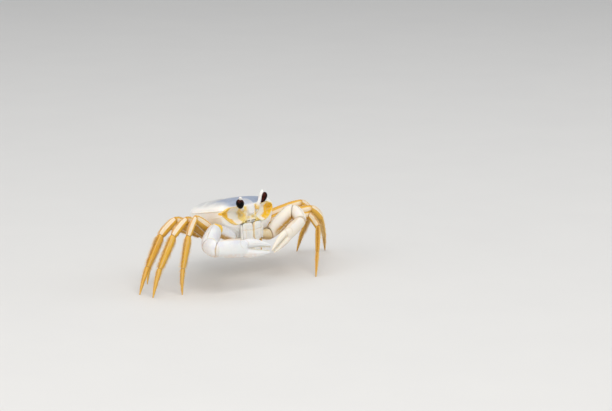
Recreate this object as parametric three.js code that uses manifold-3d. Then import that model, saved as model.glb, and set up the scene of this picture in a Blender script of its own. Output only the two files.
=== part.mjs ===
// A ghost crab that stands high on its eight walking legs, its front raised and its claws held before it.
// Millimetres, +Z up. The crab looks along -Y, and its own left side is +X. The floor is z = 0.
// A limb's pieces carry their names from the body outwards: coxa, merus, carpus, propodus and dactyl.
// In a claw arm the palm is the propodus with its fixed finger, and the finger above it is the dactyl.
import * as THREE from "three";
import { mergeVertices } from "three/addons/utils/BufferGeometryUtils.js";
import Module from "manifold-3d";

const wasm = await Module();
wasm.setup();

// ---------------------------------------------------------------- driving dimensions

const CARAPACE_WIDTH = 42; // between the points of the two teeth outside the eye sockets
const JOINT_GAP = 0.3; // left between two neighbouring plates
const STANCE_HEIGHT = 37; // from the floor up to the middle of the carapace's edge
const BODY_PITCH = 12; // degrees that the front is raised
const BODY_ROLL = -1; // degrees that the left side is raised
const TIP_WEAR = 0.3; // how much of each dactyl's point is worn flat by the floor

const width = (share) => share * CARAPACE_WIDTH;
const widths = (shares) => shares.map(width);

// The trunk's outline from above, its dome above the edge, and its belly below it.
const TRUNK = {
  halfWidth: width(0.49),
  front: width(0.415),
  rear: width(0.455),
  narrowing: 0.2, // share of its width that the carapace would lose a little past its rear
  cornerPower: { front: 9, rear: 5 }, // how square the corners of the outline are
  tooth: 0.015, // how far the front corners are drawn out
  toothReach: 0.12, // how far along the edge that goes
  frontBow: 0.12, // how much of its front's reach the carapace loses towards those corners
  dome: width(0.15),
  bellyDepth: { front: width(0.45), rear: width(0.34) },
  profilePower: { dome: 2.4, side: 2.1, face: 5.5, rear: 2.4 },
  sides: 36,
  rings: 16,
};
// The shell is parted from the breast plate by a plane that falls from the tail to the mouth.
const PARTING = { level: width(-0.31), fall: 15 };

const ROSTRUM = { width: width(0.155), root: width(0.06), tip: width(-0.09), thickness: width(0.05) };
const SOCKET = {
  inner: width(0.11),
  outer: width(0.5),
  level: width(-0.086),
  height: width(0.2),
  depth: width(0.11),
};
const MOUTH_PLATE = {
  width: width(0.17),
  top: width(-0.2),
  length: width(0.24),
  thickness: width(0.05),
  lean: 7,
};
// The tail flap starts a little way along the trunk's middle line, and reaches past the trunk's centre.
const TAIL_FLAP = { halfWidth: width(0.15), thickness: width(0.06), start: 0.12, reach: 1.45 };

// Each eye: its stalk's root, [front, out, up] from the trunk's centre, and the way that stalk and eye point.
const STALK = { root: widths([0.405, 0.13, -0.04]), length: width(0.275), radius: width(0.029) };
const EYE = { length: width(0.16), radius: width(0.053), start: width(0.108), offset: width(0.04) };
const EYE_AIM = {
  left: { stalk: [0.13, 0.43, 0.9], eye: [0.1, 0.9, -0.4] },
  right: { stalk: [0.5, 0.47, 0.72], eye: [0.3, 0.8, -0.6] },
};

// Walking legs, as shares of the carapace's width: the lengths of the five pieces,
// the socket as [front, out, up] from the trunk's centre, and how stout the pieces are.
const LEG_SIZE = {
  leg1: { lengths: [0.14, 0.72, 0.26, 0.43, 0.36], socket: [0.11, 0.3, -0.31], stout: 0.92 },
  leg2: { lengths: [0.15, 0.79, 0.28, 0.46, 0.4], socket: [0.01, 0.32, -0.3], stout: 1 },
  leg3: { lengths: [0.15, 0.77, 0.27, 0.45, 0.39], socket: [-0.11, 0.31, -0.29], stout: 0.97 },
  leg4: { lengths: [0.13, 0.54, 0.2, 0.36, 0.32], socket: [-0.22, 0.27, -0.26], stout: 0.72 },
};
// A pose gives each piece its turn, from straight out sideways towards the front, and its rise above level.
// Each is in degrees. The last two pieces have only turns: the propodus stands as steep as brings
// the point down to the floor, and the dactyl stands steeper than it by a few degrees.
const LEG_POSE = {
  left: {
    leg1: { coxa: [16, -14], merus: [17, 11], carpus: [102, -30], turns: [136, 140], steeper: 16 },
    leg2: { coxa: [18, 5], merus: [17, 12], carpus: [-9, -37], turns: [-38, -42], steeper: 14 },
    leg3: { coxa: [8, 8], merus: [18, 18], carpus: [-8, -38], turns: [-66, -72], steeper: 12 },
    leg4: { coxa: [-26, 0], merus: [-26, 15], carpus: [-30, -30], turns: [-32, -34], steeper: 10 },
  },
  right: {
    leg1: { coxa: [14, 2], merus: [23, 30], carpus: [15, -51], turns: [4, 0], steeper: 12 },
    leg2: { coxa: [14, 5], merus: [23, 26], carpus: [0, -39], turns: [-4, -8], steeper: 12 },
    leg3: { coxa: [2, 6], merus: [18, 25], carpus: [-14, -42], turns: [0, -8], steeper: 12 },
    leg4: { coxa: [-16, 0], merus: [2, 18], carpus: [-5, -32], turns: [-20, -30], steeper: 10 },
  },
};

// Claw arms, as shares of the carapace's width. The crab's right claw is its large one.
const ARM_SOCKET = [0.28, 0.22, -0.38];
const ARM_SIZE = {
  right: { lengths: [0.42, 0.48, 0.24, 0.46], finger: 0.37, depth: 0.25, thickness: 0.16, stout: 1.04 },
  left: { lengths: [0.19, 0.48, 0.23, 0.4], finger: 0.34, depth: 0.19, thickness: 0.125, stout: 0.96 },
};
const ARM_POSE = {
  right: { pieces: [[7, 26], [34, -16], [77, 1], [170, -4]], roll: 14, open: 2 },
  left: { pieces: [[7, -10], [8, 36], [100, -30], [168, -20]], roll: 8, open: 0 },
};

// ---------------------------------------------------------------- directions and frames

const rad = THREE.MathUtils.degToRad;
const SIDES = ["left", "right"];
const SIDE_SIGN = { left: 1, right: -1 };

// The way that a piece points when it turns towards the front and rises above level.
function heading(side, turn, rise) {
  const level = Math.cos(rad(rise));
  const out = SIDE_SIGN[side] * Math.cos(rad(turn)) * level;
  return new THREE.Vector3(out, -Math.sin(rad(turn)) * level, Math.sin(rad(rise)));
}

// A frame with x along a piece, and z as near as it can be to the way that the piece's outer edge faces.
function pieceFrame(start, along, edge, roll = 0) {
  const x = along.clone().normalize();
  const y = edge.clone().cross(x).normalize();
  const z = x.clone().cross(y);
  const frame = new THREE.Matrix4().makeBasis(x, y, z);
  return frame.multiply(new THREE.Matrix4().makeRotationX(rad(roll))).setPosition(start);
}

// A limb's piece stands on edge, so its outer edge faces up and away from the way that it falls.
function limbFrame(side, bone, start, roll = 0) {
  const thin = new THREE.Vector3(0, 0, 1).cross(heading(side, bone.turn, 0));
  return pieceFrame(start, bone.aim, bone.aim.clone().cross(thin), roll);
}

const TRUNK_FRAME = new THREE.Matrix4()
  .makeTranslation(0, 0, STANCE_HEIGHT)
  .multiply(new THREE.Matrix4().makeRotationY(-rad(BODY_ROLL)))
  .multiply(new THREE.Matrix4().makeRotationX(-rad(BODY_PITCH)));

// [front, out, up] on one side of the trunk, as a vector in the trunk's own frame.
function inTrunk(side, [front, out, up]) {
  return new THREE.Vector3(SIDE_SIGN[side] * out, -front, up);
}

// ---------------------------------------------------------------- closed shapes

const signedPower = (value, power) => Math.sign(value) * Math.abs(value) ** power;

function solid(geometry) {
  const numbers = new Float32Array(geometry.getAttribute("position").array);
  const corners = new Uint32Array(geometry.index.array);
  return new wasm.Manifold(new wasm.Mesh({ numProp: 3, vertProperties: numbers, triVerts: corners }));
}

// A ball whose every vertex is moved to place(share, angle): share runs from 0 at one pole to 1 at the other
// along +x, and angle goes round from +y towards +z.
function shaped(sides, rings, place) {
  const ball = new THREE.SphereGeometry(1, sides, rings);
  ball.deleteAttribute("normal");
  ball.deleteAttribute("uv");
  ball.rotateZ(Math.PI / 2);
  const merged = mergeVertices(ball, 1e-5);
  const position = merged.getAttribute("position");
  for (let i = 0; i < position.count; i++) {
    const share = (1 + position.getX(i)) / 2;
    const angle = Math.atan2(position.getZ(i), position.getY(i));
    position.setXYZ(i, ...place(share, angle));
  }
  return solid(merged);
}

const moved = (made, matrix) => made.transform(matrix.toArray());

// Reads a list of evenly spaced values at a share of its length, half eased between them.
function readAt(values, share) {
  const place = share * (values.length - 1);
  const i = Math.min(Math.floor(place), values.length - 2);
  const step = place - i;
  const eased = (step + THREE.MathUtils.smoothstep(step, 0, 1)) / 2;
  return values[i] + (values[i + 1] - values[i]) * eased;
}

// A limb's piece from x = 0 to its length. Its half height (z) and half thickness (y) are read from lists,
// bow lifts its middle, blunt squares its ends, square does so to its section, and grow swells it all over.
function limbPiece({ length, high, thick, bow = 0, blunt = 4, square = 2, sides = 10, rings = 7, grow = 0 }) {
  return shaped(sides, rings, (share, angle) => {
    const end = (1 - Math.abs(2 * share - 1) ** blunt) ** (1 / blunt);
    const y = signedPower(Math.cos(angle), 2 / square) * end * (readAt(thick, share) + grow);
    const z = signedPower(Math.sin(angle), 2 / square) * end * (readAt(high, share) + grow);
    return [share * (length + 2 * grow) - grow, y, z + bow * Math.sin(Math.PI * share)];
  });
}

// ---------------------------------------------------------------- trunk

// A point of the trunk's surface in its own frame. Angle goes round from its left side over its front,
// and polar falls from 0 on top, over 90 at the edge, to 180 degrees below.
function trunkPoint(angle, polar, grow = 0) {
  const front = Math.sin(angle) > 0;
  const { cornerPower, profilePower, bellyDepth } = TRUNK;
  const corner = front ? cornerPower.front : cornerPower.rear;
  const out = signedPower(Math.cos(angle), 2 / corner);
  const ahead = signedPower(Math.sin(angle), 2 / corner);
  const narrow = 1 - TRUNK.narrowing * THREE.MathUtils.smoothstep(-ahead, -0.6, 1.4);
  const fromTooth = Math.abs(Math.abs(out) - Math.max(ahead, 0)) / TRUNK.toothReach;
  const tooth = 1 + TRUNK.tooth * Math.exp(-(fromTooth ** 2));
  const bow = front ? 1 - TRUNK.frontBow * out ** 2 : 1;
  const above = polar < Math.PI / 2;
  const bulge = (power) => Math.sin(polar) ** (2 / power);
  const spreadOut = bulge(above ? profilePower.dome : profilePower.side);
  const spreadAhead = bulge(above ? profilePower.dome : front ? profilePower.face : profilePower.rear);
  const depth = THREE.MathUtils.mapLinear(ahead * spreadAhead, -1, 1, bellyDepth.rear, bellyDepth.front);
  const rise = above ? TRUNK.dome : depth;
  const power = above ? profilePower.dome : profilePower.side;
  return [
    out * narrow * tooth * spreadOut * (TRUNK.halfWidth + grow),
    -ahead * bow * tooth * spreadAhead * ((front ? TRUNK.front : TRUNK.rear) + grow),
    signedPower(Math.cos(polar), 2 / power) * (rise + grow),
  ];
}

function trunkSolid(grow = 0) {
  return shaped(TRUNK.sides, TRUNK.rings, (share, angle) => {
    const polar = Math.acos(THREE.MathUtils.clamp(2 * share - 1, -1, 1));
    return trunkPoint(-angle, polar, grow);
  });
}

// The hollow that an eye folds down into: deepest and lowest at two thirds of its width.
function socketSolid(side) {
  const { inner, outer, level, height, depth } = SOCKET;
  const half = (outer - inner) / 2;
  const made = limbPiece({
    length: half * 2,
    high: [0.42, 0.5, 0.5, 0.36, 0.08].map((share) => share * height),
    thick: [1, 1.1, 1, 0.9, 0.7].map((share) => share * depth),
    bow: -height * 0.08,
    blunt: 3,
    sides: 12,
    rings: 9,
  });
  const start = inTrunk(side, [TRUNK.front, inner, level]);
  const out = inTrunk(side, [-0.1, 1, 0.16]);
  return moved(made, pieceFrame(start, out, new THREE.Vector3(0, 0, 1)));
}

function rostrumSolid() {
  const made = limbPiece({
    length: ROSTRUM.root - ROSTRUM.tip,
    high: [0.42, 0.5, 0.5, 0.42].map((share) => share * ROSTRUM.thickness * 1.6),
    thick: [0.56, 0.5, 0.5, 0.4].map((share) => share * ROSTRUM.width),
    blunt: 5,
    sides: 12,
    rings: 6,
  });
  const start = inTrunk("left", [TRUNK.front + width(0.005), 0, ROSTRUM.root]);
  return moved(made, pieceFrame(start, inTrunk("left", [0.2, 0, -1]), inTrunk("left", [1, 0, 0.2])));
}

function mouthPlate(side, grow = 0) {
  const made = limbPiece({
    length: MOUTH_PLATE.length,
    high: [0.5, 0.55, 0.5, 0.4].map((share) => share * MOUTH_PLATE.thickness),
    thick: [0.46, 0.5, 0.48, 0.4].map((share) => share * MOUTH_PLATE.width),
    blunt: 6,
    square: 2.6,
    sides: 12,
    rings: 6,
    grow,
  });
  const out = MOUTH_PLATE.width / 2 + JOINT_GAP * 0.7;
  const start = inTrunk(side, [TRUNK.front + width(0.008), out, MOUTH_PLATE.top]);
  const lean = rad(MOUTH_PLATE.lean);
  const down = inTrunk(side, [-Math.sin(lean), -0.03, -Math.cos(lean)]);
  return moved(made, pieceFrame(start, down, inTrunk(side, [1, 0.12, 0])));
}

// The trunk's lower middle line, as [back, up]: from its hindmost point at 0, under the belly and forwards.
function bellyLine(place) {
  const ahead = TAIL_FLAP.reach * place ** 2 - 1;
  const { profilePower, bellyDepth } = TRUNK;
  const power = ahead > 0 ? profilePower.face : profilePower.rear;
  const depth = THREE.MathUtils.mapLinear(ahead, -1, 1, bellyDepth.rear, bellyDepth.front);
  const up = -depth * (1 - Math.abs(ahead) ** power) ** (1 / profilePower.side);
  return [-ahead * (ahead > 0 ? TRUNK.front : TRUNK.rear), up];
}

// The tail, folded under: a tapering plate that follows the trunk's middle line from behind to the breast.
// The room that is cut for it is larger all round by grow, and far thicker outwards.
function tailFlap(grow = 0) {
  const { halfWidth, thickness, start } = TAIL_FLAP;
  const breadth = [0.9, 1, 1, 0.95, 0.8, 0.55, 0.42, 0.36, 0.28];
  return shaped(10, 13, (share, angle) => {
    const place = start + (1 - start) * share;
    const [back, up] = bellyLine(place);
    const [nextBack, nextUp] = bellyLine(place + 0.01);
    const normal = new THREE.Vector2(-(nextUp - up), nextBack - back).normalize();
    const end = (1 - Math.abs(2 * share - 1) ** 6) ** (1 / 6);
    const x = -signedPower(Math.cos(angle), 0.8) * end * (readAt(breadth, share) * halfWidth + grow);
    const thick = thickness / 2 + (angle > 0 ? grow * 12 : grow);
    const raise = signedPower(Math.sin(angle), 0.8) * end * thick + thickness * 0.1;
    return [x, back + normal.x * raise, up + normal.y * raise];
  });
}

// ---------------------------------------------------------------- eyes

function eyeFrame(side) {
  const { stalk, eye } = EYE_AIM[side];
  return pieceFrame(inTrunk(side, STALK.root), inTrunk(side, stalk), inTrunk(side, eye));
}

function stalkSolid(side, grow = 0) {
  const swell = [1.05, 0.95, 0.95, 1.05, 0.85].map((share) => share * STALK.radius);
  const made = limbPiece({ length: STALK.length, high: swell, thick: swell, blunt: 5, rings: 8, grow });
  return moved(made, eyeFrame(side));
}

function eyeSolid(side) {
  const made = limbPiece({
    length: EYE.length,
    high: [0.85, 1, 1, 0.8].map((share) => share * EYE.radius),
    thick: [0.8, 0.98, 1, 0.85].map((share) => share * EYE.radius),
    blunt: 2.2,
    rings: 8,
  });
  const seat = new THREE.Matrix4().makeTranslation(EYE.start, 0, EYE.offset);
  return moved(made, eyeFrame(side).multiply(seat)).subtract(stalkSolid(side, JOINT_GAP));
}

// ---------------------------------------------------------------- limbs

// The bones of a limb, from where it leaves the trunk: each starts where the one before it ends.
function chainBones(side, socket, kinds, lengths, pose) {
  let start = inTrunk(side, widths(socket)).applyMatrix4(TRUNK_FRAME);
  return kinds.map((kind, i) => {
    const [turn, rise] = typeof pose[i] === "function" ? pose[i](start.z) : pose[i];
    const aim = heading(side, turn, rise);
    const bone = { kind, start, aim, length: width(lengths[i]), turn };
    start = start.clone().addScaledVector(aim, bone.length);
    return bone;
  });
}

// A bone's piece, longer than the bone by its reach back and on into its neighbours.
function boneSolid(side, bone, shape, stout, back, on) {
  const { high, thick, bow = 0, ...rest } = shape;
  const scaled = (shares) => shares.map((share) => width(share) * stout);
  const length = bone.length + back + on;
  const made = limbPiece({ ...rest, high: scaled(high), thick: scaled(thick), bow: width(bow), length });
  return moved(made, limbFrame(side, bone, bone.start.clone().addScaledVector(bone.aim, -back)));
}

// Parts neighbours along the plane that halves the bend between them.
function partAtJoints(pieces, bones) {
  return pieces.map((piece, i) => {
    let made = piece;
    if (i > 0) {
      const normal = bones[i - 1].aim.clone().add(bones[i].aim).normalize();
      made = made.trimByPlane(normal.toArray(), normal.dot(bones[i].start) + JOINT_GAP / 2);
    }
    if (i < bones.length - 1) {
      const normal = bones[i].aim.clone().add(bones[i + 1].aim).normalize().negate();
      made = made.trimByPlane(normal.toArray(), normal.dot(bones[i + 1].start) + JOINT_GAP / 2);
    }
    return made;
  });
}

const LEG_SHAPES = {
  coxa: { high: [0.055, 0.065, 0.058], thick: [0.048, 0.054, 0.046], sides: 8, rings: 4 },
  merus: {
    high: [0.052, 0.078, 0.088, 0.082, 0.072, 0.06],
    thick: [0.038, 0.044, 0.048, 0.046, 0.042, 0.04],
    bow: 0.014,
    blunt: 5,
    sides: 8,
    rings: 7,
  },
  carpus: {
    high: [0.052, 0.06, 0.062, 0.055],
    thick: [0.037, 0.042, 0.043, 0.039],
    bow: 0.012,
    sides: 8,
    rings: 5,
  },
  propodus: {
    high: [0.052, 0.053, 0.047, 0.038],
    thick: [0.038, 0.036, 0.032, 0.026],
    blunt: 5,
    sides: 8,
    rings: 5,
  },
  dactyl: {
    high: [0.036, 0.032, 0.026, 0.018, 0.008],
    thick: [0.027, 0.025, 0.02, 0.014, 0.008],
    bow: 0.01,
    blunt: 7,
    sides: 6,
    rings: 6,
  },
};
const LEG_KINDS = Object.keys(LEG_SHAPES);
const LEG_OVERLAP = width(0.035); // neighbours run into each other by this much, and are then parted

// The propodus's rise, found by halving, at which the dactyl's point comes down from a height to the floor.
function steepness(height, propodus, dactyl, steeper) {
  let low = -88;
  let high = 0;
  for (let i = 0; i < 30; i++) {
    const middle = (low + high) / 2;
    const drop = -propodus * Math.sin(rad(middle)) - dactyl * Math.sin(rad(middle - steeper));
    if (drop > height) low = middle;
    else high = middle;
  }
  return low;
}

function legSolids(side, name) {
  const { lengths, socket, stout } = LEG_SIZE[name];
  const { coxa, merus, carpus, turns, steeper } = LEG_POSE[side][name];
  let rise = 0;
  const pose = [
    coxa,
    merus,
    carpus,
    (height) => {
      rise = steepness(height + TIP_WEAR, width(lengths[3]), width(lengths[4]), steeper);
      return [turns[0], rise];
    },
    () => [turns[1], rise - steeper],
  ];
  const bones = chainBones(side, socket, LEG_KINDS, lengths, pose);
  const pieces = bones.map((bone, i) => {
    const back = i === 0 ? 0 : LEG_OVERLAP;
    const on = i === bones.length - 1 ? 0 : LEG_OVERLAP;
    return boneSolid(side, bone, LEG_SHAPES[bone.kind], stout, back, on);
  });
  const parted = partAtJoints(pieces, bones);
  parted[4] = parted[4].trimByPlane([0, 0, 1], 0);
  return parted;
}

// ---------------------------------------------------------------- claw arms

const ARM_SHAPES = {
  coxa: { high: [0.065, 0.075, 0.078], thick: [0.055, 0.062, 0.062], rings: 4 },
  merus: {
    high: [0.08, 0.108, 0.12, 0.122, 0.112],
    thick: [0.065, 0.088, 0.1, 0.1, 0.088],
    bow: 0.015,
    blunt: 5,
    rings: 8,
  },
  carpus: { high: [0.085, 0.105, 0.108, 0.095], thick: [0.07, 0.085, 0.085, 0.07], bow: 0.012 },
};
const ARM_KINDS = ["coxa", "merus", "carpus", "palm"];
const ARM_OVERLAP = width(0.045);
// Teeth along a finger: the first one's place and the step to the next, as shares of the finger's length,
// and the first one's height and what each next one loses, as shares of the palm's depth.
const FINGER_TEETH = { count: 5, first: 0.32, step: 0.12, height: 0.16, less: 0.018, radius: 0.065 };

function fingerSolid(length, depth, thickness, bow) {
  return limbPiece({
    length,
    high: [0.25, 0.24, 0.19, 0.13, 0.05].map((share) => share * depth),
    thick: [0.3, 0.3, 0.25, 0.17, 0.07].map((share) => share * thickness),
    bow,
    blunt: 6,
    sides: 8,
    rings: 7,
  });
}

// A row of blunt teeth along a finger's inner edge, each lower than the one before it.
function withTeeth(finger, length, depth, facing) {
  let made = finger;
  for (let i = 0; i < FINGER_TEETH.count; i++) {
    const share = FINGER_TEETH.first + FINGER_TEETH.step * i;
    const height = depth * (FINGER_TEETH.height - FINGER_TEETH.less * i);
    const tooth = new THREE.ConeGeometry(depth * FINGER_TEETH.radius, height, 4);
    tooth.deleteAttribute("normal");
    tooth.deleteAttribute("uv");
    tooth.rotateX((facing * Math.PI) / 2);
    tooth.translate(length * share, 0, facing * depth * (0.2 - 0.13 * share));
    made = made.add(solid(mergeVertices(tooth, 1e-4)));
  }
  return made;
}

// The palm with its fixed finger, and the free finger above it, along x from the wrist.
function handSolids(palmLength, size, open) {
  const [depth, thickness, finger] = widths([size.depth, size.thickness, size.finger]);
  const palm = limbPiece({
    length: palmLength,
    high: [0.3, 0.43, 0.5, 0.5, 0.43].map((share) => share * depth),
    thick: [0.36, 0.46, 0.5, 0.46, 0.38].map((share) => share * thickness),
    bow: depth * 0.03,
    rings: 8,
  });
  const reach = finger * 1.2; // a finger's root lies inside the palm
  const seated = (made, x, z, lift) => {
    const seat = new THREE.Matrix4().makeTranslation(x, 0, z);
    return moved(made, seat.multiply(new THREE.Matrix4().makeRotationY(-rad(lift))));
  };
  const fixed = withTeeth(fingerSolid(reach, depth, thickness, -depth * 0.04), reach, depth, 1);
  const free = withTeeth(fingerSolid(reach, depth, thickness, depth * 0.08), reach, depth, -1);
  const knuckleSize = [0.28, 0.31, 0.28].map((share) => share * depth);
  const knuckle = limbPiece({
    length: finger * 0.34,
    high: knuckleSize,
    thick: knuckleSize,
    sides: 8,
    rings: 5,
  });
  const root = palmLength - finger * 0.2;
  const hinge = depth * 0.22;
  const whole = palm.add(seated(fixed, root, -depth * 0.24, -2));
  return [
    whole.subtract(seated(knuckle, root + finger * 0.04, hinge, 0)),
    seated(free, root + finger * 0.07, hinge, open - 8),
  ];
}

function armSolids(side) {
  const size = ARM_SIZE[side];
  const pose = ARM_POSE[side];
  const bones = chainBones(side, ARM_SOCKET, ARM_KINDS, size.lengths, pose.pieces);
  const pieces = bones.slice(0, 3).map((bone, i) => {
    return boneSolid(side, bone, ARM_SHAPES[bone.kind], size.stout, i === 0 ? 0 : ARM_OVERLAP, ARM_OVERLAP);
  });
  const wrist = bones[3];
  const start = wrist.start.clone().addScaledVector(wrist.aim, -ARM_OVERLAP);
  const frame = limbFrame(side, wrist, start, SIDE_SIGN[side] * pose.roll);
  const hand = handSolids(wrist.length + ARM_OVERLAP, size, pose.open);
  const [palm, finger] = hand.map((made) => moved(made, frame));
  return [...partAtJoints([...pieces, palm], bones), finger.subtract(palm)];
}

// ---------------------------------------------------------------- assembly

const finish = (color, roughness) => new THREE.MeshStandardMaterial({ color, roughness, metalness: 0 });
const SHELL = finish(0xd9d8da, 0.5);
const BELLY = finish(0xece6da, 0.55);
const CLAW = finish(0xf2efe8, 0.45);
const LEG = finish(0xe0a83a, 0.5);
const CORNEA = finish(0x1a0d0a, 0.12);
const EYE_STALK = finish(0xe9e2d6, 0.45);

const crab = new THREE.Group();

function addNode(name, made, material) {
  const mesh = made.getMesh();
  const geometry = new THREE.BufferGeometry();
  geometry.setAttribute("position", new THREE.BufferAttribute(mesh.vertProperties, 3));
  geometry.setIndex(new THREE.BufferAttribute(mesh.triVerts, 1));
  const node = new THREE.Mesh(geometry, material);
  node.name = name;
  crab.add(node);
}

const trunk = trunkSolid();
let shell = trunk.add(rostrumSolid());
for (const side of SIDES) {
  shell = shell.subtract(socketSolid(side)).subtract(mouthPlate(side, JOINT_GAP));
  shell = shell.subtract(stalkSolid(side, JOINT_GAP));
}
const fall = rad(PARTING.fall);
const upward = inTrunk("left", [Math.sin(fall), 0, Math.cos(fall)]);
const downward = upward.clone().negate();
const partingLevel = PARTING.level * Math.cos(fall);
const flapRoom = tailFlap(JOINT_GAP);
shell = shell.subtract(flapRoom).trimByPlane(upward.toArray(), partingLevel + JOINT_GAP / 2);
let sternum = trunk.subtract(flapRoom).trimByPlane(downward.toArray(), -partingLevel + JOINT_GAP / 2);
for (const side of SIDES) sternum = sternum.subtract(mouthPlate(side, JOINT_GAP));

addNode("carapace", moved(shell, TRUNK_FRAME), SHELL);
addNode("sternum", moved(sternum, TRUNK_FRAME), BELLY);
addNode("abdomen", moved(tailFlap(), TRUNK_FRAME), BELLY);
for (const side of SIDES) {
  addNode(`maxilliped_${side}`, moved(mouthPlate(side), TRUNK_FRAME), BELLY);
  addNode(`eyestalk_${side}`, moved(stalkSolid(side), TRUNK_FRAME), EYE_STALK);
  addNode(`eye_${side}`, moved(eyeSolid(side), TRUNK_FRAME), CORNEA);
}

const clearance = moved(trunkSolid(JOINT_GAP), TRUNK_FRAME);
const clearOfTrunk = (made, i) => (i < 2 ? made.subtract(clearance) : made);
for (const side of SIDES) {
  for (const name of Object.keys(LEG_SIZE)) {
    const pieces = legSolids(side, name).map(clearOfTrunk);
    pieces.forEach((made, i) => addNode(`${name}_${side}_${LEG_KINDS[i]}`, made, LEG));
  }
  const pieces = armSolids(side).map(clearOfTrunk);
  pieces.forEach((made, i) => addNode(`arm_${side}_${[...ARM_KINDS, "finger"][i]}`, made, CLAW));
}

// The origin lies on the floor, under the middle of the whole crab's box.
const middle = new THREE.Box3().setFromObject(crab).getCenter(new THREE.Vector3());
crab.position.set(-middle.x, -middle.y, 0);

export default crab;
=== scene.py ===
"""A life-size ghost crab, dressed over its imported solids.

The crab stands on its eight walking legs with its front raised and both claws held before it. Sizes are in
millimetres and are turned to metres when a mesh is made. The crab looks along -Y, and its own left is +X.
"""

import logging
import math
from dataclasses import dataclass, field
from enum import Enum
from typing import Callable, ClassVar, Optional, Protocol, Sequence, Union

import bmesh
import bpy
import numpy as np
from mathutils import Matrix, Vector


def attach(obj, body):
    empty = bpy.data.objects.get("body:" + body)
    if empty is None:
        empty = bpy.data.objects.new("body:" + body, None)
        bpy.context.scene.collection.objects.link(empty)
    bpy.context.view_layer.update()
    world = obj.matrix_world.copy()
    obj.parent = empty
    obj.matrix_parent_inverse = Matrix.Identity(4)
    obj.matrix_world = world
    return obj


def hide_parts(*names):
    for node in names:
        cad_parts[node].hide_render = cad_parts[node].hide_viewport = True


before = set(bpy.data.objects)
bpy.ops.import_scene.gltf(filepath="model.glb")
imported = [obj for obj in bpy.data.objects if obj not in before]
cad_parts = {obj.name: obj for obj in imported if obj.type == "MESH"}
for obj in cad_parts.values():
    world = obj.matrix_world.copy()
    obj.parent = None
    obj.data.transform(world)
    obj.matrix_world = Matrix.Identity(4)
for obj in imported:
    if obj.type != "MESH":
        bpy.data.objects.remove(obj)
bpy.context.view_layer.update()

LOG = logging.getLogger("ghost_crab")

METRE = 0.001
CARAPACE_WIDTH = 42.0
JOINT_GAP = 0.3
TRUNK_CENTRE = np.array([-3.95, 7.99, 37.0])
BODY_PITCH = 12.0
BODY_ROLL = -1.0
UP = np.array([0.0, 0.0, 1.0])

Array = np.ndarray
Colour = tuple[float, float, float]
Shares = tuple[float, ...]
Masks = dict[str, Array]
Shaped = tuple[Array, Masks]
Line = tuple[Array, Array]
Material = bpy.types.Material
Piece = bpy.types.Object
Link = bpy.types.NodeSocket
Shaper = Callable[[Array, Array], Shaped]


# ---------- numbers and frames


def width(share: float) -> float:
    """Gives a share of the carapace's width, in millimetres."""
    return share * CARAPACE_WIDTH


def signed_power(values: Array, power: Union[float, Array]) -> Array:
    """Raises values to a power and keeps their signs."""
    return np.sign(values) * np.abs(values) ** power


def ramp(values: Array, low: float, high: float) -> Array:
    """Rises smoothly from 0 at low to 1 at high, or falls where low is the greater one."""
    step = np.clip((values - low) / (high - low), 0.0, 1.0)
    return step * step * (3.0 - 2.0 * step)


def span(values: Array, low: float, high: float) -> Array:
    """Rises or falls like a ramp, between two shares of the carapace's width."""
    return ramp(values, width(low), width(high))


def hill(values: Array, spread: float) -> Array:
    """Gives a bell curve that is 1 where the values are 0."""
    return np.exp(-((values / spread) ** 2))


def held(values: Array) -> Array:
    """Holds values between 0 and 1."""
    return np.clip(values, 0.0, 1.0)


def rounded_ends(share: Array, power: float) -> Array:
    """Tells how full a closed form is along its length, from 0 at its two ends to 1 in its middle."""
    return (1.0 - np.abs(2 * share - 1) ** power) ** (1 / power)


def read_at(values: Sequence[float], share: Array) -> Array:
    """Reads evenly spaced values at shares of their length, along a curve that runs through them all.

    Args:
        values: the evenly spaced values.
        share: where to read, from 0 to 1.

    Returns:
        The values read, one for each share.
    """
    known = np.asarray(values, dtype=float)
    padded = np.concatenate([[2 * known[0] - known[1]], known, [2 * known[-1] - known[-2]]])
    place = held(share) * (len(known) - 1)
    first = np.minimum(place.astype(int), len(known) - 2)
    step = place - first
    a, b, c, d = (padded[first + i] for i in range(4))
    slope = 0.5 * (c - a)
    bend = a - 2.5 * b + 2 * c - 0.5 * d
    twist = 0.5 * (d - a) + 1.5 * (b - c)
    return b + step * (slope + step * (bend + step * twist))


def spaced(count: int, density: Callable[[Array], Array], samples: int = 4000) -> Array:
    """Spaces values from 0 to 1 so that they crowd where a density is high.

    Args:
        count: how many values.
        density: how close they lie, for any place from 0 to 1.
        samples: how finely the density is summed.

    Returns:
        The values, from 0 to 1.
    """
    fine = np.linspace(0.0, 1.0, samples)
    total = np.concatenate([[0.0], np.cumsum(density(0.5 * (fine[1:] + fine[:-1])))])
    return np.interp(np.linspace(0.0, total[-1], count), total, fine)


def unit(vector: Array) -> Array:
    """Scales a vector, or each row of vectors, to length 1."""
    return vector / np.linalg.norm(vector, axis=-1, keepdims=True)


def turned(axis: str, degrees: float) -> Array:
    """Gives the 4 by 4 matrix of a turn.

    Args:
        axis: x or y.
        degrees: how far it turns.

    Returns:
        The matrix.
    """
    c, s = math.cos(math.radians(degrees)), math.sin(math.radians(degrees))
    made = np.eye(4)
    first, second = (1, 2) if axis == "x" else (2, 0)
    made[first, first] = made[second, second] = c
    made[first, second] = -s
    made[second, first] = s
    return made


def shifted(offset: Array) -> Array:
    """Gives the 4 by 4 matrix of a shift."""
    return np.block([[np.eye(3), np.reshape(offset, (3, 1))], [np.zeros((1, 3)), 1.0]])


def placed(points: Array, matrix: Array) -> Array:
    """Moves points by a 4 by 4 matrix."""
    return points @ matrix[:3, :3].T + matrix[:3, 3]


TRUNK_FRAME = shifted(TRUNK_CENTRE) @ turned("y", -BODY_ROLL) @ turned("x", -BODY_PITCH)


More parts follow.
